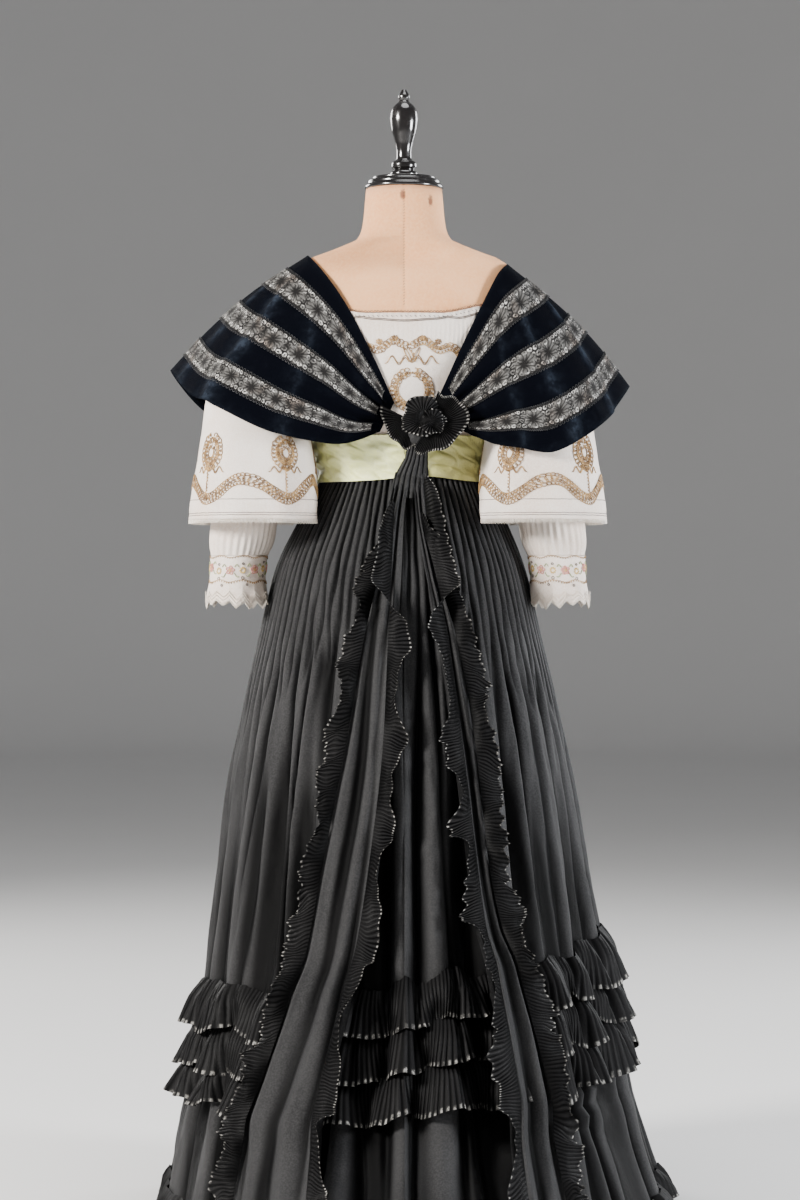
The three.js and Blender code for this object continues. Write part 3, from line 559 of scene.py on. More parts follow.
# Black lace over pale flower rings. The cloth's u counts band widths along it, v goes 0 to 1 across.
def laceMaterial(look):
    material, tree, shader = startMaterial("laceInsertion", roughness=0.7, specular=0.12)
    uv = placeOf(tree, "UV")
    warp = noiseOf(tree, uv, 2.6, 2)
    bent = addNode(tree, "VectorMath", operation="ADD")
    tree.links.new(uv, bent.inputs[0])
    push = addNode(tree, "CombineXYZ")
    tree.links.new(scaled(tree, warp, 0.34, -0.17), push.inputs[0])
    tree.links.new(scaled(tree, warp, -0.16, 0.08), push.inputs[1])
    tree.links.new(push.outputs[0], bent.inputs[1])
    parts = partsOf(tree, bent.outputs[0])
    straight = partsOf(tree, uv)
    # a darker flower of net in the middle, again and again along the band
    along = doMath(tree, "FRACT", doMath(tree, "DIVIDE", parts["X"], look["medallionEvery"]))
    along = times(tree, minus(tree, along, 0.5), look["medallionEvery"] * 0.8)
    across = minus(tree, parts["Y"], 0.5)
    away = lengthOf(tree, along, across)
    petal = doMath(tree, "COSINE", times(tree, doMath(tree, "ARCTAN2", across, along), look["petals"]))
    off = minus(tree, away, scaled(tree, petal, 0.04, look["medallion"]))
    outside = stepBetween(tree, off, -0.03, 0.03)
    veins = times(tree, sizeOf(tree, petal), stepBetween(tree, sizeOf(tree, off), 0.2, 0.02))
    # small flower rings in staggered rows fill the rest
    rows = times(tree, parts["Y"], look["ringRows"])
    shifted = times(tree, doMath(tree, "MODULO", doMath(tree, "FLOOR", rows), 2.0), 0.5)
    cellX = scaled(tree, parts["X"], look["ringRows"] * 0.92, shifted)
    ringX = minus(tree, doMath(tree, "FRACT", cellX), 0.5)
    ringY = minus(tree, doMath(tree, "FRACT", rows), 0.5)
    ringAway = lengthOf(tree, ringX, ringY)
    ring = stepBetween(tree, sizeOf(tree, minus(tree, ringAway, 0.29)), 0.17, 0.07)
    notch = doMath(tree, "COSINE", times(tree, doMath(tree, "ARCTAN2", ringY, ringX), 5.0))
    ring = times(tree, ring, scaled(tree, notch, 0.25, 0.75))
    strength = stepBetween(tree, noiseOf(tree, uv, 3.1, 4, 0.75), 0.46, 0.6)
    ring = times(tree, times(tree, ring, outside), scaled(tree, strength, 0.85, 0.15))
    # they crowd along both edges of the band
    outer = stepBetween(tree, sizeOf(tree, across), 0.14, 0.27)
    ring = times(tree, ring, scaled(tree, outer, 1 - look["middleRings"], look["middleRings"]))
    net = addNode(tree, "TexVoronoi", {"Scale": 17.0}, voronoi_dimensions="2D", feature="DISTANCE_TO_EDGE")
    tree.links.new(uv, net.inputs["Vector"])
    mesh = stepBetween(tree, net.outputs["Distance"], 0.12, 0.02)
    colour = mixColours(tree, times(tree, mesh, 0.7), look["ground"], look["net"])
    warm = stepBetween(tree, noiseOf(tree, uv, 0.8, 2), 0.5, 0.64)
    pale = mixColours(tree, times(tree, warm, 0.7), look["flower"], look["warm"])
    colour = mixColours(tree, times(tree, veins, 0.13), colour, pale)
    colour = mixColours(tree, ring, colour, pale)
    edge = stepBetween(tree, sizeOf(tree, minus(tree, straight["Y"], 0.5)), 0.43, 0.47)
    colour = mixColours(tree, edge, colour, look["ground"])
    paint(tree, shader, colour)
    height = plus(tree, plus(tree, ring, veins), times(tree, mesh, 0.4))
    bumpOf(tree, shader, height, 0.0009)
    return material


lace = laceMaterial(laceLook)

pleatLook = {
    # groove and crest: painted shade down in each pleat, painted light on its top
    "groove": (0.0008, 0.0008, 0.0009), "crest": (0.0112, 0.0109, 0.0112), "rise": 0.72,
    # edge: the pale of the picot edge, worn and painted as a highlight
    "edge": (0.30, 0.29, 0.27), "edgeFrom": 0.9, "roughness": 0.5, "specular": 0.05, "sheen": 0.01,
    # deep is the painted shade's colour where the mesh marks hollows
    "deep": (0.0005, 0.0005, 0.0006), "paintedShadeShare": 0.85,
}


# Knife-pleated silk. u counts the pleats, and v runs from the sewn edge, 0, to the picot edge, 1.
def frillMaterial(look):
    material, tree, shader = startMaterial(
        "pleatedSilk", roughness=look["roughness"], specular=look["specular"], sheen=look["sheen"],
        sheenRoughness=0.4, sheenTint=(0.75, 0.77, 0.82),
    )
    parts = partsOf(tree, placeOf(tree, "UV"))
    part = doMath(tree, "FRACT", parts["X"])
    rising = doMath(tree, "DIVIDE", part, look["rise"])
    falling = doMath(tree, "DIVIDE", minus(tree, 1.0, part), 1 - look["rise"])
    height = doMath(tree, "MINIMUM", rising, falling)
    fibre = noiseOf(tree, placeOf(tree), 420, 3)
    # painted shade and light: the grooves dark, the crests lighter, by the pleat's height
    crest = times(tree, stepBetween(tree, height, 0.1, 0.8), scaled(tree, fibre, 0.8, 0.5))
    colour = mixColours(tree, crest, look["groove"], look["crest"])
    # the picot edge is pale where each pleat turns over: partly wear, partly a painted highlight
    edge = stepBetween(tree, parts["Y"], look["edgeFrom"], look["edgeFrom"] + 0.05)
    worn = stepBetween(tree, noiseOf(tree, placeOf(tree), 150, 4, 0.7), 0.44, 0.6)
    dots = stepBetween(tree, height, 0.4, 0.8)
    pale = times(tree, times(tree, edge, dots), scaled(tree, worn, 0.8, 0.1))
    paintShadeInHollows(tree, shader, mixColours(tree, pale, colour, look["edge"]), look)
    bumpOf(tree, shader, fibre, 0.0003)
    return material


frillSilk = frillMaterial(pleatLook)


# A twisted cord: ribs wind round it by its place, with darker worn spots
def threadMaterial(name, colour, dark, metallic, roughness, twist):
    material, tree, shader = startMaterial(name, metallic=metallic, roughness=roughness, specular=0.5)
    place = placeOf(tree)
    worn = stepBetween(tree, noiseOf(tree, place, 130, 3), 0.35, 0.65)
    paint(tree, shader, mixColours(tree, worn, dark, colour))
    bumpOf(tree, shader, noiseOf(tree, place, twist, 2), 0.0006)
    return material


gold = threadMaterial("goldSoutache", (0.50, 0.31, 0.13), (0.20, 0.11, 0.045), 0.3, 0.42, 900)
darkThread = threadMaterial("brownPicot", (0.10, 0.065, 0.045), (0.03, 0.02, 0.016), 0.0, 0.6, 1200)
pinkThread = threadMaterial("pinkFloss", (0.72, 0.33, 0.28), (0.6, 0.25, 0.2), 0.0, 0.55, 1500)
greenThread = threadMaterial("greenFloss", (0.36, 0.42, 0.2), (0.28, 0.32, 0.14), 0.0, 0.55, 1500)
yellowThread = threadMaterial("yellowFloss", (0.72, 0.52, 0.16), (0.6, 0.4, 0.12), 0.0, 0.5, 1500)
creamThread = threadMaterial("creamFloss", (0.82, 0.76, 0.68), (0.7, 0.62, 0.52), 0.0, 0.6, 1200)
blackThread = threadMaterial("blackFloss", (0.045, 0.044, 0.045), (0.015, 0.015, 0.016), 0.0, 0.6, 1200)


def glossMaterial():
    material, tree, shader = startMaterial(
        "blackVarnish", roughness=0.22, specular=0.55, coat=0.6, coatRoughness=0.08)
    place = placeOf(tree)
    dust = stepBetween(tree, noiseOf(tree, place, 60, 5, 0.7), 0.5, 0.8)
    dusty = times(tree, dust, 0.4)
    paint(tree, shader, mixColours(tree, dusty, (0.006, 0.005, 0.005), (0.03, 0.026, 0.024)))
    tree.links.new(scaled(tree, dust, 0.22, 0.2), shader.inputs["Roughness"])
    bumpOf(tree, shader, noiseOf(tree, place, 40, 4), 0.0003)
    return material


gloss = glossMaterial()


def ironMaterial():
    material, tree, shader = startMaterial("blackIron", metallic=0.5, roughness=0.45)
    place = placeOf(tree)
    grain = noiseOf(tree, place, 90, 5, 0.7)
    rust = stepBetween(tree, grain, 0.5, 0.75)
    paint(tree, shader, mixColours(tree, rust, (0.02, 0.02, 0.021), (0.06, 0.04, 0.03)))
    tree.links.new(scaled(tree, grain, 0.3, 0.3), shader.inputs["Roughness"])
    bumpOf(tree, shader, grain, 0.0008)
    return material


iron = ironMaterial()
print("materials ready")


# The dress form, a level section on each row: half width, depth behind and before the axis
formSections = tableOf(
    "height side back front",
    (1465, 55, 55, 55), (1408, 61, 58, 61), (1390, 70, 62, 64),
    (1380, 96, 60, 60), (1372, 116, 56, 54), (1364, 138, 58, 55),
    (1352, 153, 66, 62), (1335, 161, 80, 76), (1262, 168, 100, 112),
    (1215, 158, 101, 128), (1160, 139, 97, 132), (1108, 126, 90, 112),
    (1075, 118, 84, 96), (1048, 113, 80, 88), (985, 134, 106, 97),
    (920, 150, 125, 108), (850, 160, 138, 112), (780, 160, 138, 112),
)
armPlateAcross = 156
roundBody = 120  # a turn of one radian is about so many millimetres at the sash


# Millimetres; turn runs from centre back towards the right. The arrays share one shape.
def bodySurface(turn, height, lift):
    side = smoothTable(formSections, "side", height)
    back = smoothTable(formSections, "back", height)
    front = smoothTable(formSections, "front", height)
    depth = np.where(np.cos(turn) > 0, back, front)
    across = np.clip(side * np.sin(turn), -armPlateAcross, armPlateAcross)
    outX, outY = np.sin(turn) / side, -np.cos(turn) / depth
    size = np.hypot(outX, outY)
    x = across + outX / size * lift
    y = -depth * np.cos(turn) + outY / size * lift
    return np.stack([x, y, np.broadcast_to(height, x.shape)], axis=-1)


formLook = {
    "columns": 120, "rows": 84, "seamDeep": 0.9, "seamWide": 1.6,
    "stitchPitch": 4.2, "stitchesFrom": 1290, "stitchesTo": 1460,
}


def makeForm(look):
    # extra columns crowd round the centre seams
    even = np.linspace(0, fullTurn, look["columns"], endpoint=False)
    turns = even - 0.32 * np.sin(2 * even) * 0.9
    heights = np.linspace(formSections[0]["height"], formSections[-1]["height"], look["rows"])
    turn, height = np.meshgrid(turns, heights)
    points = bodySurface(turn, height, 0)
    awayFromSeam = np.abs(points[..., 0])
    groove = look["seamDeep"] * bell(awayFromSeam, look["seamWide"])
    puff = 0.35 * bell(awayFromSeam - 3.2, 1.6)
    outwards = np.sign(points[..., 1])
    points[..., 1] -= outwards * (groove - puff)
    rows, columns = points.shape[:2]
    u, v = clothLengths(points * mm, True)
    faces = gridFaces(rows, columns, True).tolist()
    faces.append(list(range(columns)))
    faces.append([(rows - 1) * columns + index for index in reversed(range(columns))])
    form = placeMesh("formCover", points * mm, faces, linen, ("form_torso",))
    uvs = np.zeros((len(form.data.loops), 2), np.float32)  # the two end caps keep 0
    sideUvs = cornerUvs(u, v, rows, columns).reshape(-1, 2)
    uvs[: len(sideUvs)] = sideUvs
    setUvs(form.data, uvs)
    # small stitches across the centre seam, behind and in front
    stitches = []
    for middle in (0, math.pi):
        for z in np.arange(look["stitchesFrom"], look["stitchesTo"], look["stitchPitch"]):
            level = bodySurface(np.array([middle]), np.array([z]), 0.1)[0]
            slant = np.array([[-1.1, 0, -0.7], [0, 0, 0], [1.1, 0, 0.7]])
            stitches.append((level + slant) * mm)
    placeTubes("formSeamStitches", stitches, 0.28 * mm, darkThread, 4)


# A lathe piece; profile rows are (radius, height, corner) in millimetres, round where corner is 0
def turnedPiece(name, profile, sides, material, nodes, steps=9):
    known = np.arange(len(profile), dtype=float)
    radii, heights = [], []
    for index in range(len(profile) - 1):
        sharp = profile[index][2] or profile[index + 1][2]
        count = 2 if sharp else steps
        at = index + np.arange(count) / count
        straight = lambda key: np.interp(at, known, [row[key] for row in profile])
        curved = lambda key: curveThrough(known, [row[key] for row in profile], at)
        radii.extend(straight(0) if sharp else curved(0))
        heights.extend(straight(1) if sharp else curved(1))
    radii.append(profile[-1][0])
    heights.append(profile[-1][1])
    radii, heights = np.array(radii[1:-1]), np.array(heights[1:-1])
    angle = np.arange(sides) / sides * fullTurn
    points = np.stack([
        radii[:, None] * np.cos(angle), radii[:, None] * np.sin(angle),
        np.broadcast_to(heights[:, None], (len(radii), sides)),
    ], axis=-1).reshape(-1, 3)
    rows = len(radii)
    points = np.concatenate([points, [[0, 0, profile[0][1]], [0, 0, profile[-1][1]]]])
    faces = gridFaces(rows, sides, True)[:, ::-1].tolist()
    low, high = rows * sides, rows * sides + 1
    for column in range(sides):
        after = (column + 1) % sides
        faces.append([low, after, column])
        faces.append([high, (rows - 1) * sides + column, (rows - 1) * sides + after])
    piece = placeMesh(name, points * mm, faces, material, nodes)
    edges = piece.modifiers.new("crisp", "EDGE_SPLIT")
    edges.split_angle = math.radians(50)
    return piece


def makeStandTop():
    capFoot, finialFoot = 1465.3, 1482.6
    capRises = [
        (0, 0, 1), (56, 0, 1), (57, 1, 1), (57, 4, 1), (56, 5, 1), (53.6, 6.5, 1), (53, 7.5, 1), (53, 11, 1),
        (52, 12, 1), (47, 13.5, 1), (46, 14.5, 1), (46, 16.4, 1), (45.4, 17, 1), (0, 17, 1),
    ]
    finialRises = [
        (0, 0, 1), (18.4, 0, 1), (19.6, 2, 0), (20, 5, 0), (18, 8.5, 0), (15, 10, 1), (15.6, 11, 1),
        (18, 14, 0), (18.4, 18, 0), (17, 22, 0), (12, 25, 1), (11, 28, 0), (10.6, 36, 0), (12, 46, 0),
        (15, 57, 0), (18.4, 70, 0), (20, 84, 0), (19, 95, 0), (14, 104, 0), (8, 109.5, 0), (6.6, 112, 1),
        (8.2, 115, 0), (8.2, 118.5, 0), (6.4, 121.5, 1), (5, 124, 0), (3.2, 127, 0), (0, 128.3, 0),
    ]
    cap = [(radius, capFoot + rise, corner) for radius, rise, corner in capRises]
    finial = [(radius, finialFoot + rise, corner) for radius, rise, corner in finialRises]
    turnedPiece("neckCap", cap, 96, gloss, ("form_neck_cap",))
    turnedPiece("turnedFinial", finial, 48, gloss, ("form_finial",), 5)
    for node in ("stand_pole", "stand_foot"):
        solid = frame["nodes"][node]
        solid.data.materials.clear()
        solid.data.materials.append(iron)


makeForm(formLook)
makeStandTop()
print("form and stand made")


# Bodice
waistHeight = 1048
bodiceLift = 5


def bodiceTop(turn):
    side = np.abs(np.sin(turn))
    return 1277 + 14 * smoothStep(side, 0.3, 0.75) - 94 * smoothStep(side, 0.79, 1)


def pouch(turn, height):
    forward = np.maximum(0, -np.cos(turn))
    return 12 * forward * smoothStep(height, 1108, 1160) * (1 - smoothStep(height, 1215, 1275))


bodiceLook = {
    "columns": 240, "rows": 46, "tucksFrom": 1262, "tucksTo": 1236, "tuckPitch": 5.0, "tuckDeep": 1.3,
    "gatherPitch": 7.5, "gatherDeep": 0.8, "softFold": 1.6,
}


def bodiceSurface(turn, height, lift):
    body = bodySurface(turn, height, bodiceLift + pouch(turn, height) + lift)
    along = turn * 125  # millimetres round the body, near enough
    tucked = smoothStep(height, bodiceLook["tucksTo"] - 6, bodiceLook["tucksTo"])
    tucked = tucked * (1 - smoothStep(height, bodiceLook["tucksFrom"], bodiceLook["tucksFrom"] + 5))
    tuck = bodiceLook["tuckDeep"] * np.abs(np.sin(along / bodiceLook["tuckPitch"] * math.pi))
    gathered = smoothStep(height, 1262, 1276)
    gather = bodiceLook["gatherDeep"] * np.sin(along / bodiceLook["gatherPitch"] * fullTurn)
    below = 1 - smoothStep(height, 1215, 1236)
    soft = bodiceLook["softFold"] * unevenness(3, along / 22, height / 90) * below
    out = tuck * tucked - tucked * 0.4 + gather * gathered + np.clip(soft, -1.5, 2.2)
    outwards = np.stack([np.sin(turn), -np.cos(turn), np.zeros_like(turn)], axis=-1)
    return body + outwards * out[..., None]


def makeBodice(look):
    quarter = fullTurn / 4
    seam = 0.0012
    halves = (("bodiceBack", -quarter, "bodice_back"), ("bodiceFront", quarter, "bodice_front"))
    for name, start, node in halves:
        turns = np.linspace(start + seam, start + 2 * quarter - seam, look["columns"])
        share = np.linspace(0, 1, look["rows"])
        turn, down = np.meshgrid(turns, share)
        height = lerp(bodiceTop(turn), waistHeight + 0.3, down)
        points = bodiceSurface(turn, height, 0) * mm
        u, v = clothLengths(points)
        piece = placeGrid(name, points, cream, (node,), u=u, v=v)
        declareSheet(points, float(u[12:].max()), float(v.max()))


makeBodice(bodiceLook)


# Soutache: a cord that loops as it goes along a path drawn on the cloth.
# path is (x, z) points, with a loop of radius loop every pitch millimetres.
def loopedPath(path, loop, pitch, flip=1):
    path = np.asarray(path, float)
    lengths = np.concatenate([[0], np.cumsum(np.linalg.norm(np.diff(path, axis=0), axis=1))])
    count = max(int(lengths[-1] / pitch * 8), 12)
    at = np.linspace(0, lengths[-1], count)
    x, z = np.interp(at, lengths, path[:, 0]), np.interp(at, lengths, path[:, 1])
    alongX, alongZ = np.gradient(x), np.gradient(z)
    size = np.maximum(np.hypot(alongX, alongZ), 1e-9)
    alongX, alongZ = alongX / size, alongZ / size
    phase = at / pitch * fullTurn
    uneven = 1 + 0.16 * np.sin(at * 0.9 + x * 0.3)
    forward = -loop * np.sin(phase) * 1.15 * uneven
    aside = flip * loop * (1 - np.cos(phase)) * uneven
    return np.stack([x + forward * alongX - aside * alongZ, z + forward * alongZ + aside * alongX], axis=1)


def arcPath(centreX, centreZ, radius, start, end, count=30, squash=1.0):
    angle = np.linspace(start, end, count) * degree
    return np.stack([centreX + radius * np.cos(angle), centreZ + squash * radius * np.sin(angle)], axis=1)


def wavyPath(startX, endX, z, rise, waves, count=80, phase=0.0):
    x = np.linspace(startX, endX, count)
    return np.stack([x, z + rise * np.sin((x - startX) / (endX - startX) * waves * fullTurn + phase)], axis=1)


# A round wreath of petal loops in three rows
def wreathPaths(x, z, radius, squash=1.0):
    return [
        loopedPath(arcPath(x, z, radius, 100, 440, 60, squash), 2.3, 5.6, -1),
        loopedPath(arcPath(x, z, radius * 0.86, 100, 440, 60, squash), 2.3, 5.6, 1),
        loopedPath(arcPath(x, z, radius * 0.93, 70, 410, 60, squash), 1.3, 3.9),
    ]


# A bow: two upright loops, a crossing stem, and two tails that wave outwards
def bowPaths(x, z, size):
    paths = []
    for side in (-1, 1):
        angle = np.linspace(0, fullTurn, 24)
        bulb = size * 0.3
        bulbX = x + side * bulb * (1 - np.cos(angle)) * 0.55
        bulbZ = z + bulb * (0.9 * (1 - np.cos(angle)) + 0.4 * np.sin(angle))
        paths.append(np.stack([bulbX, bulbZ], axis=1))
        run = np.linspace(0, 1, 34)
        for lift in (0.0, 0.11):
            tailX = x + side * size * (0.12 + 0.95 * run)
            tailZ = z + size * (lift * (1 - run) + 0.15 * np.sin(run * 3.6 * math.pi) + 0.1 * run)
            paths.append(np.stack([tailX, tailZ], axis=1))
    return paths


def onBodice(path, lift, front=False):
    x, z = path[:, 0], path[:, 1]
    side = smoothTable(formSections, "side", z) + bodiceLift
    turn = np.arcsin(np.clip(x / side, -0.98, 0.98))
    if front:
        turn = math.pi - turn
    return bodiceSurface(turn, z, lift) * mm


embroideryLook = {
    "cord": 0.72, "lift": 0.6, "wreathRadius": 27, "wreathHeight": 1168, "wreathAcross": 11,
    "festoonHeight": 1240, "festoonReach": 78, "festoonDrop": 17, "bowHeight": 1207, "bowSize": 36,
}


def makeBodiceEmbroidery(look):
    cords = []
    for front in (False, True):
        shift = 0 if front else look["wreathAcross"]
        flat = wreathPaths(shift, look["wreathHeight"], look["wreathRadius"])
        flat += wreathPaths(shift, look["wreathHeight"], look["wreathRadius"] - 5)[:1]
        flat += bowPaths(shift, look["bowHeight"], look["bowSize"])
        stemX = shift + 4 * np.sin(np.linspace(0, 5, 20))
        stemZ = np.linspace(look["bowHeight"], look["festoonHeight"] - 6, 20)
        stem = np.stack([stemX, stemZ], axis=1)
        flat.append(loopedPath(stem, 1.4, 4.6))
        for side in (-1, 1):
            run = np.linspace(0, 1, 60)
            sag = 0.5 - 0.5 * np.cos(run * 2 * fullTurn)
            drape = np.stack([
                shift * 0.6 + side * (3 + run * look["festoonReach"]),
                look["festoonHeight"] - 9 * (1 - sag) - look["festoonDrop"] * run ** 1.6,
            ], axis=1)
            flat.append(loopedPath(drape, 2.4, 6.0, side))
            flat.append(loopedPath(drape + [0, 2.6], 2.0, 5.2, -side))
            flat.append(loopedPath(drape - [0, 3.0], 1.6, 4.6, -side))
            for place in (20, 42):
                knot = (shift * 0.6 + side * place, look["festoonHeight"] + 1 - 5 * (place > 30))
                flat.append(loopedPath(arcPath(*knot, 5.0, 0, 540, 30, 0.8), 1.4, 4.0))
        if front:
            for side in (-1, 1):
                flat.append(loopedPath(wavyPath(side * 20, side * 90, 1120, 6, 2), 2.0, 5.6))
        cords += [onBodice(path, look["lift"], front) for path in flat]
    placeTubes("bodiceSoutache", cords, look["cord"] * mm, gold, 3)


# The drawn neck edge: two brown cords, a beading of small bars between them, and picots above
def makeNeckEdging():
    halves = (("neckEdgingBack", 0, "neck_edging_back"), ("neckEdgingFront", math.pi, "neck_edging_front"))
    for name, middle, node in halves:
        turn = np.linspace(-46, 46, 260) * degree + middle
        top = bodiceTop(turn)
        along = (turn - middle) * 112
        cords = []
        wobble = 0.35 * unevenness(7, along / 6, 0)
        cords.append(bodiceSurface(turn, top + 1.2 + wobble, 1.0))
        dip = 9 + 1.2 * np.cos(along / 9) + 3.5 * bell(np.abs(along) - 42, 9) * -1
        cords.append(bodiceSurface(turn, top - dip, 0.8))
        cords.append(bodiceSurface(turn, top - dip - 1.9, 0.7))
        band = placeTubes(name, [cord * mm for cord in cords], 0.6 * mm, darkThread, 4)
        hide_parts(node)
        picots, bars = [], []
        for place in np.arange(-80, 80, 3.1):
            angle = np.linspace(0, math.pi, 7)
            spot = middle + (place + 1.25 * np.cos(angle)) / 112
            height = bodiceTop(spot) + 1.2 + 2.3 * np.sin(angle)
            picots.append(bodiceSurface(spot, height, 1.0) * mm)
        for place in np.arange(-78, 78, 4.4):
            spot = middle + np.array([place, place + 0.5, place + 1.6]) / 112
            bars.append(bodiceSurface(spot, bodiceTop(spot) - np.array([3.6, 4.4, 5.4]), 0.6) * mm)
        placeTubes(name + "Picots", picots, 0.36 * mm, darkThread, 4)
        placeTubes(name + "Beading", bars, 0.45 * mm, darkThread, 4)


makeBodiceEmbroidery(embroideryLook)
makeNeckEdging()
print("bodice made")


# Sash: crushed satin, its folds run round the waist and crowd towards the knot
sashLines = tableOf(
    "height out",
    (1107, 3), (1098, 1.5), (1088, 5), (1079, 1),
    (1069, 5), (1060, 1), (1050, 5), (1042, 6),
)
sashTop, sashFoot = 1107, 1042
sashLook = {"columns": 190, "rows": 48, "crush": 2.1, "knotTurn": 12, "seam": 0.0015}


def makeSash(look):
    halves = (("sashLeft", -math.pi, "sash_left", 21), ("sashRight", 0.0, "sash_right", 22))
    for name, start, node, seed in halves:
        turns = np.linspace(start + look["seam"], start + math.pi - look["seam"], look["columns"])
        share = np.linspace(0, 1, look["rows"])
        turn, down = np.meshgrid(turns, share)
        near = bell(turn / degree - look["knotTurn"], 26)  # the sash is pulled together at the knot
        height = lerp(sashTop, sashFoot, down) + (-4.5 * (1 - down) - 5 * down) * (1 - near) * 0.6
        pinch = 1 - 0.1 * near
        height = 1080 + (height - 1080) * pinch
        along = turn * roundBody
        line = lerp(sashTop, sashFoot, down) + 3.5 * np.sin(along / 33 + seed)
        ridge = smoothTable(sashLines, "out", np.clip(line, sashFoot, sashTop))
        crush = unevenness(seed, along / 11, height / 5.5, 7)
        crush = crush + 0.7 * unevenness(seed + 5, along / 5.5, height / 3.2, 6)
        sharp = np.abs(unevenness(seed + 9, along / 15, (height + 0.25 * along) / 6.5, 5))
        out = 2.3 + 0.8 * ridge + look["crush"] * 0.55 * crush - 1.6 * bell(sharp, 0.25)
        out = np.clip(out, 0.6, 8.4)
        points = bodySurface(turn, height, bodiceLift + 1.4 + out) * mm
        placeCloth(name, points, satin, (node,))


makeSash(sashLook)


# Bertha: the velvet cape collar, from centre back over the shoulder to centre front
berthaRows = {
    "left": tableOf(
        "neck rim",
        ((-14, -105, 1150), (-34, -112, 1108)), ((-45, -107, 1218), (-84, -136, 1091)),
        ((-81, -91, 1288), (-140, -154, 1094)), ((-112, -67, 1335), (-222, -160, 1122)),
        ((-137, -22, 1366), (-300, -102, 1160)), ((-139, 18, 1366.5), (-338, -5, 1202)),
        ((-112, 70, 1330), (-296, 95, 1150)), ((-82, 105, 1275), (-190, 165, 1105)),
        ((-45, 144, 1212), (-95, 188, 1085)), ((-8, 156, 1150), (-8, 172, 1100)),
    ),
    "right": tableOf(
        "neck rim",
        ((48, -101, 1156), (84, -114, 1108)), ((78, -100, 1222), (122, -140, 1092)),
        ((112, -79, 1293), (168, -154, 1081)), ((135, -56, 1338), (222, -160, 1083)),
        ((149, -22, 1354.6), (290, -100, 1128)), ((149, 18, 1354.6), (326, -5, 1178)),
        ((122, 70, 1330), (290, 95, 1145)), ((88, 105, 1275), (190, 165, 1100)),
        ((48, 144, 1212), (95, 188, 1085)), ((8, 156, 1150), (8, 172, 1100)),
    ),
}
berthaLook = {
    "columns": 170, "rows": 42, "bulge": 15, "flutes": 5, "fluteDepth": 7, "thickness": 1.4, "laceLift": 1.2,
    "bands": [(0.135, 0.285), (0.45, 0.59), (0.76, 0.88)], "bandEnds": (1 / 24, 23 / 24),
    # creases, raised in the velvet and with painted sheen along them: along at the neck and at the rim, and
    # how strong
    "creases": {
        "left": [(0.40, 0.405, 1.0), (0.47, 0.50, 0.5), (0.30, 0.26, 0.3), (0.62, 0.60, 0.6)],
        "right": [(0.33, 0.36, 0.75), (0.47, 0.46, 0.8), (0.25, 0.22, 0.35), (0.60, 0.62, 0.6)],
    },
}


# A centripetal spline through the points; at runs from 0 to 1
def centripetal(points, at):
    points = np.asarray(points, float)
    first, last = 2 * points[0] - points[1], 2 * points[-1] - points[-2]
    padded = np.concatenate([[first], points, [last]])
    place = np.clip(at, 0, 1) * (len(points) - 1)
    cell = np.clip(place.astype(int), 0, len(points) - 2)
    share = (place - cell)[..., None]
    a, b, c, d = (padded[cell + step] for step in range(4))
    gap = [np.linalg.norm(q - p, axis=-1, keepdims=True) ** 0.5 for p, q in ((a, b), (b, c), (c, d))]
    start = ((b - a) / gap[0] - (c - a) / (gap[0] + gap[1]) + (c - b) / gap[1]) * gap[1]
    end = ((c - b) / gap[1] - (d - b) / (gap[1] + gap[2]) + (d - c) / gap[2]) * gap[1]
    square, cube = share ** 2, share ** 3
    return (
        b * (2 * cube - 3 * square + 1) + c * (3 * square - 2 * cube)
        + start * (cube - 2 * square + share) + end * (cube - square)
    )


# Millimetres; along runs from centre back to centre front, down from neck edge to rim
def berthaSurface(side, along, down, lift):
    rows = berthaRows[side]
    neck = [row["neck"] for row in rows]
    start = centripetal(neck, along)
    end = centripetal([row["rim"] for row in rows], along)
    tangent = centripetal(neck, along + 0.0005) - centripetal(neck, along - 0.0005)
    outwards = np.cross(end - start, tangent)
    outwards /= np.linalg.norm(outwards, axis=-1, keepdims=True)
    toEye = np.stack([start[..., 0], start[..., 1], np.full_like(along, 250)], axis=-1)
    outwards *= np.where((outwards * toEye).sum(axis=-1, keepdims=True) < 0, -1, 1)
    free = np.sin(math.pi * np.clip(along, 0, 1)) ** 0.7
    flute = berthaLook["fluteDepth"] * down ** 2 * free * np.cos(berthaLook["flutes"] * fullTurn * along)
    bulge = berthaLook["bulge"] * np.sin(math.pi * down) * free
    pleats = 0
    sideSign = 0 if side == "left" else 1
    for end0 in (0, 1):  # pleats run out of the knot behind, and out of the fastening in front
        away = along if end0 == 0 else 1 - along
        fade = (1 - smoothStep(away, 0.10, 0.42)) * smoothStep(away, 0.0, 0.05)
        for place, deep, wide in ((0.36, 5.0, 0.05), (0.67, 7.5, 0.045), (0.92, 3.0, 0.05)):
            path = place + (0.03 + 0.02 * sideSign) * np.sin(away * 9)
            ridge, groove = bell(down - path + 0.05, wide), bell(down - path - 0.03, wide * 0.7)
            pleats = pleats + fade * deep * (ridge - 0.9 * groove)
    creases = 0
    for top, foot, strength in berthaLook["creases"][side]:
        off = along - lerp(top, foot, down) - 0.006 * np.sin(down * 9)
        crease = 3.4 * bell(off, 0.012) - 2.6 * bell(off - 0.024, 0.016)
        creases = creases + strength * crease * smoothStep(down, 0.05, 0.3)
    soft = 1.3 * unevenness(31 + sideSign, along * 26, down * 6) * free
    out = bulge + flute + pleats + creases + soft + lift
    return lerp(start, end, down[..., None]) + outwards * out[..., None]


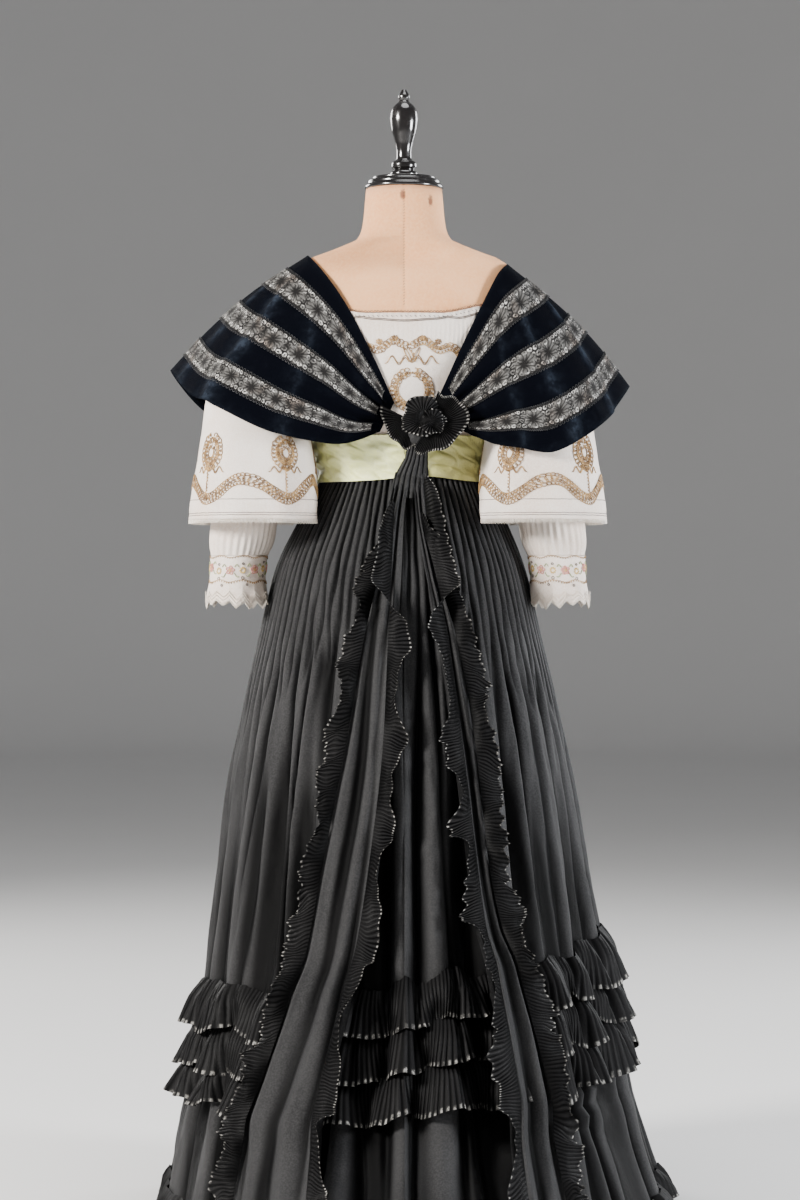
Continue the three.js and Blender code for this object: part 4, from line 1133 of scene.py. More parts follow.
def makeBertha(side):
    alongs = np.linspace(0, 1, berthaLook["columns"])
    downs = np.linspace(0, 1, berthaLook["rows"])
    along, down = np.meshgrid(alongs, downs)
    points = berthaSurface(side, along, down, 0) * mm
    if side == "left":
        points, along, down = points[:, ::-1], along[:, ::-1], down[:, ::-1]
    u, v = clothLengths(points)
    piece = placeGrid(
        "bertha" + side.capitalize(), points, velvet, ("bertha_" + side,), u=u, v=v,
        thickness=berthaLook["thickness"] * mm)
    # painted sheen along each crease; the rim and the neck edge are a little paler too
    creaseSheen = np.zeros_like(along)
    for top, foot, strength in berthaLook["creases"][side]:
        off = along - lerp(top, foot, down) - 0.006 * np.sin(down * 9)
        streak = bell(off, 0.009) + 0.35 * bell(off - 0.01, 0.02)
        creaseSheen += strength * streak * smoothStep(down, 0.1, 0.3) * (0.75 + 0.25 * np.sin(down * 23))
    rim = 0.12 * bell(down - 1, 0.02) + 0.1 * bell(down, 0.02)
    markPoints(piece, "creaseSheen", creaseSheen + rim)
    declareSheet(points, float(u[-1].max()), float(v.max()))
    makeLaceBands(side)


def makeLaceBands(side):
    label = side.capitalize()
    for index, (top, foot) in enumerate(berthaLook["bands"], start=1):
        alongs = np.linspace(*berthaLook["bandEnds"], 220)
        along, share = np.meshgrid(alongs, np.linspace(0, 1, 7))
        down = lerp(top, foot, share)
        points = berthaSurface(side, along, down, berthaLook["laceLift"]) * mm
        if side == "left":
            points, along, share = points[:, ::-1], along[:, ::-1], share[:, ::-1]
        across, _ = clothLengths(points)
        wide = float(np.median(np.linalg.norm(points[-1] - points[0], axis=1)))
        u = np.broadcast_to(across[3] / wide, across.shape)
        band = placeGrid(
            f"laceBand{label}{index}", points, lace, (f"lace_band_{side}_{index}",),
            u=u, v=share)
        length = float(across[3].max())
        declareSheet(points, length, wide)
        # tiny loops along both edges of the insertion
        loops = []
        for edge, flip in ((top, -1), (foot, 1)):
            count = int(length * 1000 / 5.2)
            for place in np.linspace(*berthaLook["bandEnds"], count):
                turn = np.linspace(0, math.pi, 5)
                spot = place + 0.0022 * np.cos(turn)
                low = edge + flip * 0.011 * np.sin(turn)
                loops.append(berthaSurface(side, spot, low, berthaLook["laceLift"] + 0.2) * mm)
        edging = placeTubes(f"lacePicots{label}{index}", loops, 0.4 * mm, blackThread, 3)
        edging.parent = band
        edging.matrix_parent_inverse = band.matrix_world.inverted()


makeBertha("left")
makeBertha("right")
print("sash and bertha made")


# Skirt sections: the crest line, a ring on each row. follow is the share of the frills' rise and fall.
skirtSections = tableOf(
    "height left right back front follow",
    (1048, 119, 119, 86, 94, 0), (985, 153, 148, 127, 112, 0),
    (920, 185, 175, 163, 129, 0), (820, 210, 199, 213, 153, 0),
    (680, 241, 232, 268, 180, 0), (500, 274, 266, 328, 212, 0.3),
    (362, 295, 287, 374, 234, 1), (310, 302, 297, 396, 242, 1),
    (258, 310, 308, 420, 251, 1), (140, 331, 340, 492, 270, 0.4),
    (48, 344, 374, 612, 284, 0), (0, 352, 392, 735, 292, 0),
)

# Sleeves: rings from the arm plate down. out is the distance from the axis, lean turns a ring up.
lowerSleeveRings = tableOf(
    "out fore height tall deep lean",
    (156.5, 0, 1275, 56, 46, 90), (190, -4, 1252, 52, 54, 62),
    (218, -14, 1212, 55, 56, 24), (217, -28, 1130, 54, 55, 6),
    (224, -38, 1040, 50, 53, 2), (231, -40, 975, 47, 49, 0),
    (237, -40, 934, 41, 43, 0),
)
bellRings = tableOf(
    "out fore height tall deep lean",
    (218, -17, 1195, 57.6, 58.6, 18), (217, -36, 1150, 68, 74, 8),
    (212, -48, 1100, 79, 82, 2), (212, -54, 1040, 88, 86, 0),
    (212, -55, 984, 93, 88, 0),
)
cuffRings = tableOf(
    "out fore height tall deep lean",
    (237, -40, 933.6, 41, 43, 0), (239, -40, 905, 40, 42, 0),
    (239, -40, 872, 45, 47, 0),
)
rightSleeveShift = -18


# Moves points level and outwards where they would touch the body, the sash or the skirt
def keepClear(points, room):
    x, y, z = points[..., 0], points[..., 1], points[..., 2]
    turn = np.arctan2(x, -y)
    below = z < waistHeight
    skirtSide = np.where(x < 0, tableAt(skirtSections, "left", z), tableAt(skirtSections, "right", z))
    formSide = np.minimum(tableAt(formSections, "side", z), armPlateAcross)
    side = np.where(below, skirtSide, formSide)
    back = np.where(below, tableAt(skirtSections, "back", z), tableAt(formSections, "back", z))
    front = np.where(below, tableAt(skirtSections, "front", z), tableAt(formSections, "front", z))
    depth = np.where(np.cos(turn) > 0, back, front)
    reach = 1 / np.hypot(np.sin(turn) / (side + room), np.cos(turn) / (depth + room))
    scale = np.maximum(reach / np.maximum(np.hypot(x, y), 1e-6), 1)
    return np.stack([x * scale, y * scale, z], axis=-1)


# Turn 0 is the outer side, -90 degrees faces backwards; lift may be an array
def sleeveSurface(rings, side, turn, share, squareness, room, lift):
    known = np.arange(len(rings))
    at = share * (len(rings) - 1)
    ring = {key: curveThrough(known, [row[key] for row in rings], at) for key in rings[0]}
    shift = rightSleeveShift * smoothStep(1275 - ring["height"], 0, 150) if side > 0 else 0
    lean = ring["lean"] * degree
    power = 2 / squareness
    tall = (ring["tall"] + lift) * np.sign(np.cos(turn)) * np.abs(np.cos(turn)) ** power
    fore = (ring["deep"] + lift) * np.sign(np.sin(turn)) * np.abs(np.sin(turn)) ** power
    x = side * (ring["out"] + shift + tall * np.cos(lean))
    points = np.stack([x, ring["fore"] + fore, ring["height"] + tall * np.sin(lean)], axis=-1)
    held = smoothStep(ring["lean"], 70, 80)[..., None]
    return lerp(keepClear(points, room + lift), points, held)


bellLook = {
    "columns": 190, "rows": 44, "thickness": 0.6, "motifs": 5, "wreathHeight": 1079, "wreathRadius": 19,
    "garlandHeight": 1026, "garlandRise": 14, "lineHeight": 993, "cord": 0.75,
    "tucksFrom": 996, "tucksTo": 1011,
}
sleeveLook = {"columns": 176, "rows": 48, "gathers": 29, "gatherDeep": 1.5}
bellTop, bellFoot = 1195, 984
cuffTop, cuffTall = 933.6, 61.6
roundBell, roundCuff = 88, 44.0  # a turn of one radian is about so many millimetres
cuffLook = {"columns": 168, "rows": 16, "points": 14, "pointDrop": 14, "thickness": 0.6, "flowers": 7}


# Soft folds fall from the sleeve's gathered top, and fine tucks lie just above the hem
def bellFolds(turn, height):
    soft = 2.2 * unevenness(41, np.cos(turn) * 3.2 + 5 * turn, height / 60, 5)
    hang = smoothStep(1200 - height, 20, 160)
    low, high = bellLook["tucksFrom"], bellLook["tucksTo"]
    tucks = smoothStep(height, low, low + 3) * (1 - smoothStep(height, high - 3, high))
    fine = 0.55 * np.abs(np.sin(turn * 66))
    return soft * hang + fine * tucks * 1.2 + 2.4 * smoothStep(1010 - height, 0, 26) * np.sin(turn * 9 + 0.6)


def onBell(side, turn, height, lift):
    known = [row["height"] for row in bellRings][::-1]
    share = curveThrough(known, np.arange(len(bellRings))[::-1], height) / (len(bellRings) - 1)
    return sleeveSurface(bellRings, side, turn, share, 2.4, 12, bellFolds(turn, height) + lift)


def makeBell(side, label, look):
    turns = np.arange(look["columns"]) / look["columns"] * fullTurn
    heights = np.linspace(bellTop, bellFoot, look["rows"])
    turn, height = np.meshgrid(turns, heights)
    points = onBell(side, turn, height, 0) * mm
    if side < 0:
        points = points[:, ::-1]
    placeCloth(
        "bellSleeve" + label, points, cream, (f"sleeve_{label.lower()}_bell",),
        True, look["thickness"] * mm)
    drawn = lambda path, lift=0.7: onBell(side, path[:, 0] / roundBell, path[:, 1], lift) * mm
    around = fullTurn * roundBell
    cords = []
    for index in range(look["motifs"]):
        middle = (index + 0.35) / look["motifs"] * around
        flat = wreathPaths(middle, look["wreathHeight"], look["wreathRadius"], 1.12)
        flat += wreathPaths(middle, look["wreathHeight"] - 2, look["wreathRadius"] * 0.62, 1.1)[:2]
        bowHeight = look["wreathHeight"] - look["wreathRadius"] * 1.12 - 6
        flat += bowPaths(middle, bowHeight, 26)
        stem = np.stack([np.full(12, middle), np.linspace(bowHeight, look["garlandHeight"] - 10, 12)], axis=1)
        flat.append(loopedPath(stem, 1.4, 4.6))
        cords += [drawn(path) for path in flat]
    # the garland dips under each wreath and rises between them
    run = np.linspace(0, around, 700)
    dips = np.cos((run / around * look["motifs"] - 0.35) * fullTurn)
    garland = ((2.5, 6.4, 1, 0), (2.3, 6.0, -1, 1.5), (1.6, 4.8, 1, 5.5), (1.6, 4.8, -1, -4.5))
    for loop, pitch, flip, off in garland:
        path = np.stack([run, look["garlandHeight"] + off - look["garlandRise"] * dips], axis=1)
        cords.append(drawn(loopedPath(path, loop, pitch, flip)))
    placeTubes("bellSoutache" + label, cords, look["cord"] * mm, gold, 3)
    rings = np.linspace(0, fullTurn, 240)
    lines = []
    for level, wobble in ((look["lineHeight"], 0.3), (look["lineHeight"] - 3.2, 0.25), (1012, 0.2)):
        height = level + wobble * unevenness(51, rings * 22, 0)
        lines.append(onBell(side, rings, height, 0.3) * mm)
    placeTubes("bellThreadLines" + label, lines, 0.45 * mm, darkThread, 4)
    edge = []
    for place in np.linspace(0, fullTurn, 150, endpoint=False):
        spread = np.linspace(0, math.pi, 7)
        for scale, drop in ((1.0, 5.4), (0.6, 2.8)):
            spot = place + 0.021 * scale * np.cos(spread)
            base = onBell(side, spot, np.full_like(spot, bellFoot + 0.3), -0.3)
            base[:, 2] -= drop * np.sin(spread)
            edge.append(base * mm)
    placeTubes("bellLaceEdge" + label, edge, 0.55 * mm, creamThread, 3)


def makeLowerSleeve(side, label, look):
    turns = np.arange(look["columns"]) / look["columns"] * fullTurn
    turn, share = np.meshgrid(turns, np.linspace(0, 1, look["rows"]))
    gather = look["gatherDeep"] * np.sin(turn * look["gathers"] + 1.2 * np.sin(share * 7 + turn * 3))
    held = smoothStep(share, 0.05, 0.2) * (1 - 0.35 * smoothStep(share, 0.9, 1.0))
    soft = 1.8 * unevenness(61, turn * 4, share * 9)
    puff = 2.5 * smoothStep(share, 0.78, 0.93) * (1 - smoothStep(share, 0.95, 1.0))
    lift = (gather * 0.8 + soft * 0.7 + puff) * held - 1.2 * held
    points = sleeveSurface(lowerSleeveRings, side, turn, share, 2, 9, lift) * mm
    if side < 0:
        points = points[:, ::-1]
    placeCloth(
        "lowerSleeve" + label, points, cream, (f"sleeve_{label.lower()}_lower",),
        True)


def onCuff(side, turn, share, lift):
    return sleeveSurface(cuffRings, side, turn, share, 2, 5, lift)


# How far the pointed lace edge hangs below the cuff at each turn
def cuffPoints(turn, look):
    teeth = np.abs((turn * look["points"] / fullTurn) % 1 - 0.5) * 2
    return (1 - teeth) ** 0.8 * look["pointDrop"] * (0.75 + 0.25 * np.sin(turn * 3 + 1))


def makeCuff(side, label, look):
    turns = np.arange(look["columns"]) / look["columns"] * fullTurn
    turn, share = np.meshgrid(turns, np.linspace(0, 1, look["rows"]))
    points = onCuff(side, turn, share, 0.9 * np.sin(turn * 7 + 1) * share ** 2)
    points[..., 2] -= cuffPoints(turn, look) * smoothStep(share, 0.6, 1.0)
    if side < 0:
        points = points[:, ::-1]
    placeCloth(
        "cuff" + label, points * mm, cream, (f"cuff_{label.lower()}",),
        True, look["thickness"] * mm)
    shareAt = lambda height: np.clip((cuffTop - height) / cuffTall, 0, 1)
    drawn = lambda path, lift=0.5: onCuff(side, path[:, 0] / roundCuff, shareAt(path[:, 1]), lift) * mm
    gilt, pink, green, yellow, dark, pale = [], [], [], [], [], []
    pitch = fullTurn * roundCuff / look["flowers"]
    for index in range(look["flowers"]):
        x, z = (index + 0.5) * pitch, 912 + 3 * math.sin(index * 2.4)
        for petal in range(5):
            angle = petal / 5 * 360 + index * 20
            px, pz = x + 4.6 * math.cos(angle * degree), z + 4.6 * math.sin(angle * degree)
            pink.append(drawn(arcPath(px, pz, 2.3, 0, 700, 22, 0.85), 0.9))
        yellow.append(drawn(arcPath(x, z, 1.3, 0, 700, 16), 1.2))
        for flip in (-1, 1):
            leaf = np.linspace(0, 1, 12)
            bend = np.sin(leaf * math.pi)
            for reach, height in ((7, z - 4 - 3 * bend - 5 * leaf), (6, z + 5 + 4 * bend)):
                green.append(drawn(np.stack([x + flip * (7 + reach * leaf), height], axis=1), 0.7))
        for across, up, radius in ((pitch / 2, -12, 2.0), (pitch / 2, 9, 1.6), (pitch / 3, -21, 1.5)):
            dark.append(drawn(arcPath(x + across, z + up, radius, 0, 360, 14), 0.6))
        yellow.append(drawn(loopedPath(arcPath(x + pitch / 2, z - 1, 5, 0, 360, 30), 1.0, 3.4), 0.6))
    run = np.linspace(0, fullTurn * roundCuff, 300)
    for level, loop in ((930, 1.0), (893, 1.2)):
        wave = np.stack([run, level + 1.6 * np.sin(run / 6)], axis=1)
        gilt.append(drawn(loopedPath(wave, loop, 4.2)))
    # the lace edge: a cord round each point, with a net of small loops inside it
    ring = np.linspace(0, fullTurn, 420)
    for inset in (0.0, 5.5, 10.5):
        edge = onCuff(side, ring, np.ones_like(ring), 0.9 * np.sin(ring * 7 + 1) + 0.3)
        edge[:, 2] -= cuffPoints(ring, look) - inset
        pale.append(edge * mm)
    loops = look["points"] * 8
    for index in range(loops):
        near = np.linspace(0, math.pi, 6)
        spot = (index + 0.5) / loops * fullTurn + 0.022 * np.cos(near)
        edge = onCuff(side, spot, np.ones_like(spot), 0.9 * np.sin(spot * 7 + 1) + 0.2)
        edge[:, 2] -= cuffPoints(spot, look) + 2.1 * np.sin(near)
        pale.append(edge * mm)
    trims = (
        ("cuffGilt", gilt, 0.5, gold, 4), ("cuffBlossom", pink, 0.75, pinkThread, 4),
        ("cuffLeaves", green, 0.7, greenThread, 4), ("cuffYellow", yellow, 0.6, yellowThread, 4),
        ("cuffEyelets", dark, 0.5, darkThread, 4), ("cuffLaceEdge", pale, 0.55, creamThread, 3),
    )
    for name, paths, radius, thread, sides in trims:
        placeTubes(name + label, paths, radius * mm, thread, sides)


for sleeveSide, sleeveLabel in ((-1, "Left"), (1, "Right")):
    makeLowerSleeve(sleeveSide, sleeveLabel, sleeveLook)
    makeBell(sleeveSide, sleeveLabel, bellLook)
    makeCuff(sleeveSide, sleeveLabel, cuffLook)
print("sleeves made")


# Skirt
frillRowHeights = {"upper": 362, "middle": 310, "lower": 258, "hem": 48}
# Where each trough lies in degrees round from centre back, how deep and how wide it is
hangingFolds = tableOf(
    "turn deep wide",
    (4, 14, 2.6), (20, 30, 5), (38, 27, 3.6), (48, 17, 3), (63, 22, 5), (84, 19, 5), (104, 20, 5),
    (124, 18, 5), (143, 20, 5), (161, 15, 4.5), (180, 18, 5), (200, 18, 5), (218, 20, 5), (238, 18, 5),
    (257, 19, 5), (276, 17, 5), (294, 20, 5), (315, 30, 4.4), (327, 26, 3.4), (338, 18, 3.4), (351, 24, 4),
)
skirtLook = {
    "columns": 704, "rows": 88,
    "tucks": 88, "tuckDeep": 4.6, "tuckGap": 0.17, "release": 885, "releaseDrop": 165, "fade": 60,
    "folds": 44, "foldDeep": 19, "foldGap": 0.145, "foldsFull": 430,
    "softFold": 2.6, "crease": 1.1, "pinch": {"across": 219, "height": 188, "reach": 62, "deep": 9},
}


def frillPath(turn):
    return 34 * np.sin(turn) + 7 * np.sin(5 * turn + 0.6)


# The crest surface before tucks and folds. level is the height before the frills' rise and fall.
def skirtCrest(turn, level):
    left, right = (smoothTable(skirtSections, key, level) for key in ("left", "right"))
    back, front = (smoothTable(skirtSections, key, level) for key in ("back", "front"))
    follow = smoothTable(skirtSections, "follow", level)
    # left and right melt into each other over the centre lines
    side = lerp(left, right, smoothStep(np.sin(turn), -0.12, 0.12))
    depth = lerp(front, back, smoothStep(np.cos(turn), -0.12, 0.12))
    height = level + follow * frillPath(turn)
    return np.stack([side * np.sin(turn), -depth * np.cos(turn), height], axis=-1)


def skirtOutwards(turn, level):
    step = 0.01
    across = skirtCrest(turn + step, level) - skirtCrest(turn - step, level)
    low, high = np.maximum(level - 6, 0), np.minimum(level + 6, waistHeight)
    down = skirtCrest(turn, low) - skirtCrest(turn, high)
    normal = np.cross(down, across)
    return normal / np.maximum(np.linalg.norm(normal, axis=-1, keepdims=True), 1e-9)


# 1 in the narrow gap between two ridges, 0 on the ridges; phase counts them
def gapBetween(phase, width):
    return bell(np.abs(phase % 1 - 0.5), width)


# How far the cloth lies inside the crest, and how much painted shade its colour gets there.
# Stitched tucks lie above, and released folds below.
def skirtHollow(turn, level):
    look = skirtLook
    release = look["release"] - look["releaseDrop"] * np.abs(np.sin(turn)) ** 1.5
    ends = 20 * unevenness(71, turn * 24, 0.0)  # the tucks don't all end on one line
    tucked = smoothStep(level, release + ends - look["fade"], release + ends)
    hanging = 1 - smoothStep(level, look["foldsFull"], release)
    wobble = 0.13 * unevenness(72, turn * 30, level / 15, 5) + 0.10 * unevenness(73, turn * 11, level / 48)
    count = turn / fullTurn * look["tucks"] + wobble
    strength = 1 + 0.35 * unevenness(74, turn * 19, level / 55)
    tuck = look["tuckDeep"] * strength * (gapBetween(count, look["tuckGap"]) + 0.18 * gapBetween(count, 0.4))
    # pairs of tucks open into one fold, parted by narrow dark valleys of uneven depth and spacing
    opened = smoothStep(release + ends - level, -30, 40)
    spacing = 0.34 * unevenness(79, turn * 13, level / 300) + 0.12 * unevenness(80, turn * 29, level / 90)
    count = turn / fullTurn * look["folds"] + spacing
    uneven = np.clip(0.62 + 0.5 * unevenness(81, turn * 21, level / 240), 0.12, 1.4)
    valley = look["foldDeep"] * uneven * (gapBetween(count, look["foldGap"]) + 0.22 * gapBetween(count, 0.4))
    fold = 0
    degrees = turn / degree
    for index, row in enumerate(hangingFolds):
        sway = 1.3 * math.sin(index * 1.9) * np.sin(level / 150 + index)
        away = (degrees - row["turn"] - sway + 180) % 360 - 180
        width = 1.2 * row["wide"] * (1 - 0.28 * smoothStep(level, 300, 760))
        fold = fold + row["deep"] * bell(away, width) * (1 - 0.2 * np.sin(level / 90 + index * 2.1))
    mid = look["softFold"] * unevenness(76, turn * 17 + 0.4 * np.sin(level / 130), level / 260, 6)
    fine = look["crease"] * unevenness(77, turn * 46, level / 40, 7)
    fine = fine + 0.5 * unevenness(78, turn * 90, level / 16, 6)
    loose = smoothStep(release - level, -20, 120)
    deep = tuck * tucked + valley * opened + fold * hanging + (mid + 0.8 * fine) * loose + 0.25 * fine
    # painted shade for the colour, deepest in the tucks, valleys and hanging folds
    dark = 0.85 * smoothStep(tuck * tucked, 0.8, 4) + smoothStep(valley * opened, 2, 10)
    dark = np.maximum(dark, smoothStep(fold * hanging, 4, 15))
    return deep, dark


# The cloth is caught up at one spot on the right of the train, with folds that fan out from it
def skirtPinch(points):
    spot = skirtLook["pinch"]
    across = points[..., 0] - spot["across"]
    up = points[..., 2] - spot["height"]
    away = np.hypot(across, up)
    angle = np.arctan2(up, across)
    fan = np.cos(angle * 9 + 0.7 * np.sin(angle * 2))
    fan = fan * smoothStep(away, 6, 24) * np.exp(-away / spot["reach"])
    behind = points[..., 1] < 0
    return (spot["deep"] * bell(away, 13) + 0.75 * spot["deep"] * fan) * behind


def skirtSurface(turn, level, lift=0.0):
    crest = skirtCrest(turn, level)
    out = lift - skirtHollow(turn, level)[0] - skirtPinch(crest)
    points = crest + skirtOutwards(turn, level) * out[..., None]
    points[..., 2] = np.where(level <= 0.01, 0.0, np.maximum(points[..., 2], 0.4))
    return points


# Levels from the waist to the hem, evenly spaced along the train's curve at the back
def skirtLevels(count):
    fine = np.linspace(waistHeight, 0, 1200)
    back = smoothTable(skirtSections, "back", fine)
    length = np.concatenate([[0], np.cumsum(np.hypot(np.diff(fine), 0.75 * np.diff(back)))])
    return np.interp(np.linspace(0, length[-1], count), length, fine)


gores = [  # name, its solid, and where it starts and ends in 96ths of the way round
    ("BackRight", "skirt_back_right", 0, 16), ("SideRight", "skirt_side_right", 16, 30),
    ("SideFrontRight", "skirt_side_front_right", 30, 42), ("Front", "skirt_front", 42, 54),
    ("SideFrontLeft", "skirt_side_front_left", 54, 66), ("SideLeft", "skirt_side_left", 66, 80),
    ("BackLeft", "skirt_back_left", 80, 96),
]


def makeSkirt(look):
    levels = skirtLevels(look["rows"])
    for name, node, start, end in gores:
        columns = int(look["columns"] * (end - start) / 96) + 1
        turns = np.linspace(start, end, columns) / 96 * fullTurn
        turn, level = np.meshgrid(turns, levels)
        points = skirtSurface(turn, level) * mm
        # the seam is a fine groove between two gores
        for edge in (0, -1):
            points[:, edge] -= skirtOutwards(turn[:, edge], level[:, edge]) * 0.6 * mm
        piece = placeCloth("skirt" + name, points, silk, (node,))
        # painted shade in the tucks and folds
        markPoints(piece, "hollow", skirtHollow(turn, level)[1])


makeSkirt(skirtLook)


# Knife pleats: a strip whose pleats run from its sewn edge (share 0) to its free edge (share 1).
# The wave is lopsided, with a slow rise and a quick fall, as pressed pleats lie on each other.
def pleatWave(phase):
    part = phase % 1
    return np.where(part < 0.72, part / 0.72, (1 - part) / 0.28) * 2 - 1


frillLook = {
    "seat": 0.6, "columns": 1560, "rows": 8, "pleat": 5.4, "deep": 1.8,
    "lobes": 25, "gather": 0.82, "curl": 8,
}


def makeFrill(name, node, key, length, flare, wave, look):
    columns, rows = look["columns"], look["rows"]
    turns = np.arange(columns) / columns * fullTurn
    turn, down = np.meshgrid(turns, np.linspace(0, 1, rows))
    top = frillRowHeights[key]
    seed = {"upper": 81, "middle": 82, "lower": 83, "hem": 84}[key]
    # the strip is longer than its seam, so that it falls in lobes that swing out and close up again
    lobe = turn * look["lobes"] + 1.5 * unevenness(seed, turn * 7, 0) + seed
    swing = np.cos(lobe) + 0.45 * np.cos(turn * 43 + seed * 3)
    spread = look["gather"] / look["lobes"] * down ** 1.3
    spot = turn + spread * np.sin(lobe)
    gathered = 7.5 * unevenness(seed + 20, turn * 15, 0) + 1.2 * unevenness(seed + 30, turn * 130, 0)
    rise = 6 * unevenness(seed + 10, turn * 11, 0) - 0.8 * look["curl"] * np.cos(lobe)
    level = top + gathered * (1 - 0.5 * down) - length * down + rise * down ** 1.5
    level = np.maximum(level, 1.2)
    ring = float(np.linalg.norm(np.diff(skirtCrest(turns, np.full_like(turns, top)), axis=0), axis=1).sum())
    pleats = int(ring / look["pleat"])
    phase = turn / fullTurn * pleats + 0.5 * down * np.sin(lobe + 0.8)
    ripple = look["deep"] * pleatWave(phase) * (0.35 + 0.65 * down) * smoothStep(down, 0.0, 0.12)
    puffed = flare * np.sin(np.minimum(down * 1.9, 1) * math.pi / 2) * (0.86 + 0.14 * down)
    lift = look["seat"] + 1.8 + puffed + wave * (swing - 0.3) * down ** 1.2 + ripple
    lift = np.maximum(lift, 1.4 + ripple * 0.5) - 0.85 * skirtHollow(spot, level)[0] * (1 - 0.25 * down)
    points = skirtCrest(spot, level) + skirtOutwards(spot, level) * lift[..., None]
    points[..., 2] = np.maximum(points[..., 2], 0.8)
    lengths, _ = clothLengths(points * mm, True)
    u = np.concatenate([phase, phase[:, :1] + pleats], axis=1)
    v = np.broadcast_to(np.linspace(0, 1, rows)[:, None], u.shape)
    piece = placeGrid(name, points * mm, frillSilk, (node,), closedRound=True, u=u, v=v)
    # painted shade where the lobes close up and next to the seam
    markPoints(piece, "hollow", (0.45 - 0.75 * swing) * down + 0.5 * (1 - down) ** 3)
    declareSheet(points * mm, float(lengths.max()), length * mm, True)


for key, length in (("upper", 64), ("middle", 64), ("lower", 66)):
    makeFrill("tierFrill" + key.capitalize(), "tier_frill_" + key, key, length, 13, 13, frillLook)
hemLook = {**frillLook, "columns": 2000, "rows": 6, "lobes": 38, "curl": 3}
makeFrill("hemFrill", "hem_frill", "hem", 43, 9, 4.5, hemLook)
print("skirt and frills made")


# Sash ends: left and right edge of the cloth at each height
streamerTop, streamerFoot = 1046, 60
streamerEdges = {
    "left": tableOf(
        "height from to",
        (1046, -12, 8), (985, -26, 0), (920, -42, -3), (820, -64, -8),
        (680, -87, -14), (500, -121, -34), (362, -147, -56), (258, -178, -80),
        (140, -216, -103), (60, -232, -112),
    ),
    "right": tableOf(
        "height from to",
        (1046, 12, 30), (985, 16, 35), (920, 26, 50), (820, 44, 80),
        (680, 62, 104), (500, 82, 123), (362, 96, 146), (258, 113, 170),
        (140, 132, 200), (60, 146, 220),
    ),
}
streamerLift = tableOf(
    "height lift",
    (1046, 10), (820, 8), (500, 8), (415, 12),
    (350, 29), (195, 29), (140, 15), (60, 10),
)
streamerLook = {
    "columns": 56, "rows": 190,
    # the long gaps in each end: how far across, how wide and how deep, as shares of the cloth and of its lift
    "gaps": {
        "left": [(0.15, 0.04, 0.6), (0.42, 0.105, 1.15), (0.76, 0.06, 0.9)],
        "right": [(0.20, 0.05, 0.6), (0.47, 0.10, 1.15), (0.78, 0.055, 0.8)],
    },
}
ruffleLook = {
    "rows": 9, "columns": 1100, "wide": 28, "pleat": 4.6, "deep": 1.7, "lobe": 150, "flat": 12, "upright": 46,
    "gap": -13, "above": 3.2, "betweenPair": 2, "sweep": 0.55, "lay": 148, "layFrom": 905, "layTo": 820,
}


def overSkirt(across, level, lift):
    left, right = (smoothTable(skirtSections, key, level) for key in ("left", "right"))
    side = np.where(across < 0, left, right)
    turn = np.arcsin(np.clip(across / side, -0.99, 0.99))
    return skirtCrest(turn, level) + skirtOutwards(turn, level) * lift[..., None]


def makeStreamer(side, look):
    levels = np.linspace(streamerTop, streamerFoot, look["rows"])
    level, part = np.meshgrid(levels, np.linspace(0, 1, look["columns"]), indexing="ij")
    rows = streamerEdges[side]
    start, end = smoothTable(rows, "from", level), smoothTable(rows, "to", level)
    across = lerp(start, end, part)
    seed = 91 if side == "left" else 92
    lie = smoothTable(streamerLift, "lift", level)
    deep = np.minimum(0.72 * lie, 15)
    folds = 0
    for index, (place, wide, strength) in enumerate(look["gaps"][side]):
        sway = 0.045 * np.sin(level / 170 + index * 1.7 + seed) + 0.015 * np.sin(level / 47 + index)
        uneven = 0.8 + 0.25 * np.sin(level / 110 + index * 2.3)
        folds = folds - deep * strength * uneven * bell(part - place - sway, wide)
        folds = folds + 0.22 * deep * bell(part - place - sway - 1.9 * wide, wide * 0.8)
    middle = np.sin(math.pi * part) ** 0.5
    small = 0.9 * unevenness(seed, part * 14, level / 70, 6) * middle
    small = small + 0.4 * unevenness(seed + 3, part * 30, level / 22, 5)
    points = overSkirt(across, level, lie + folds * middle + small) * mm
    name, carrier = "sashEnd" + side.capitalize(), "skirtBack" + side.capitalize()
    piece = placeCloth(name, points, silk, ("streamer_" + side,))
    # painted shade in the long gaps
    markPoints(piece, "hollow", smoothStep(-folds / deep, 0.2, 0.75))


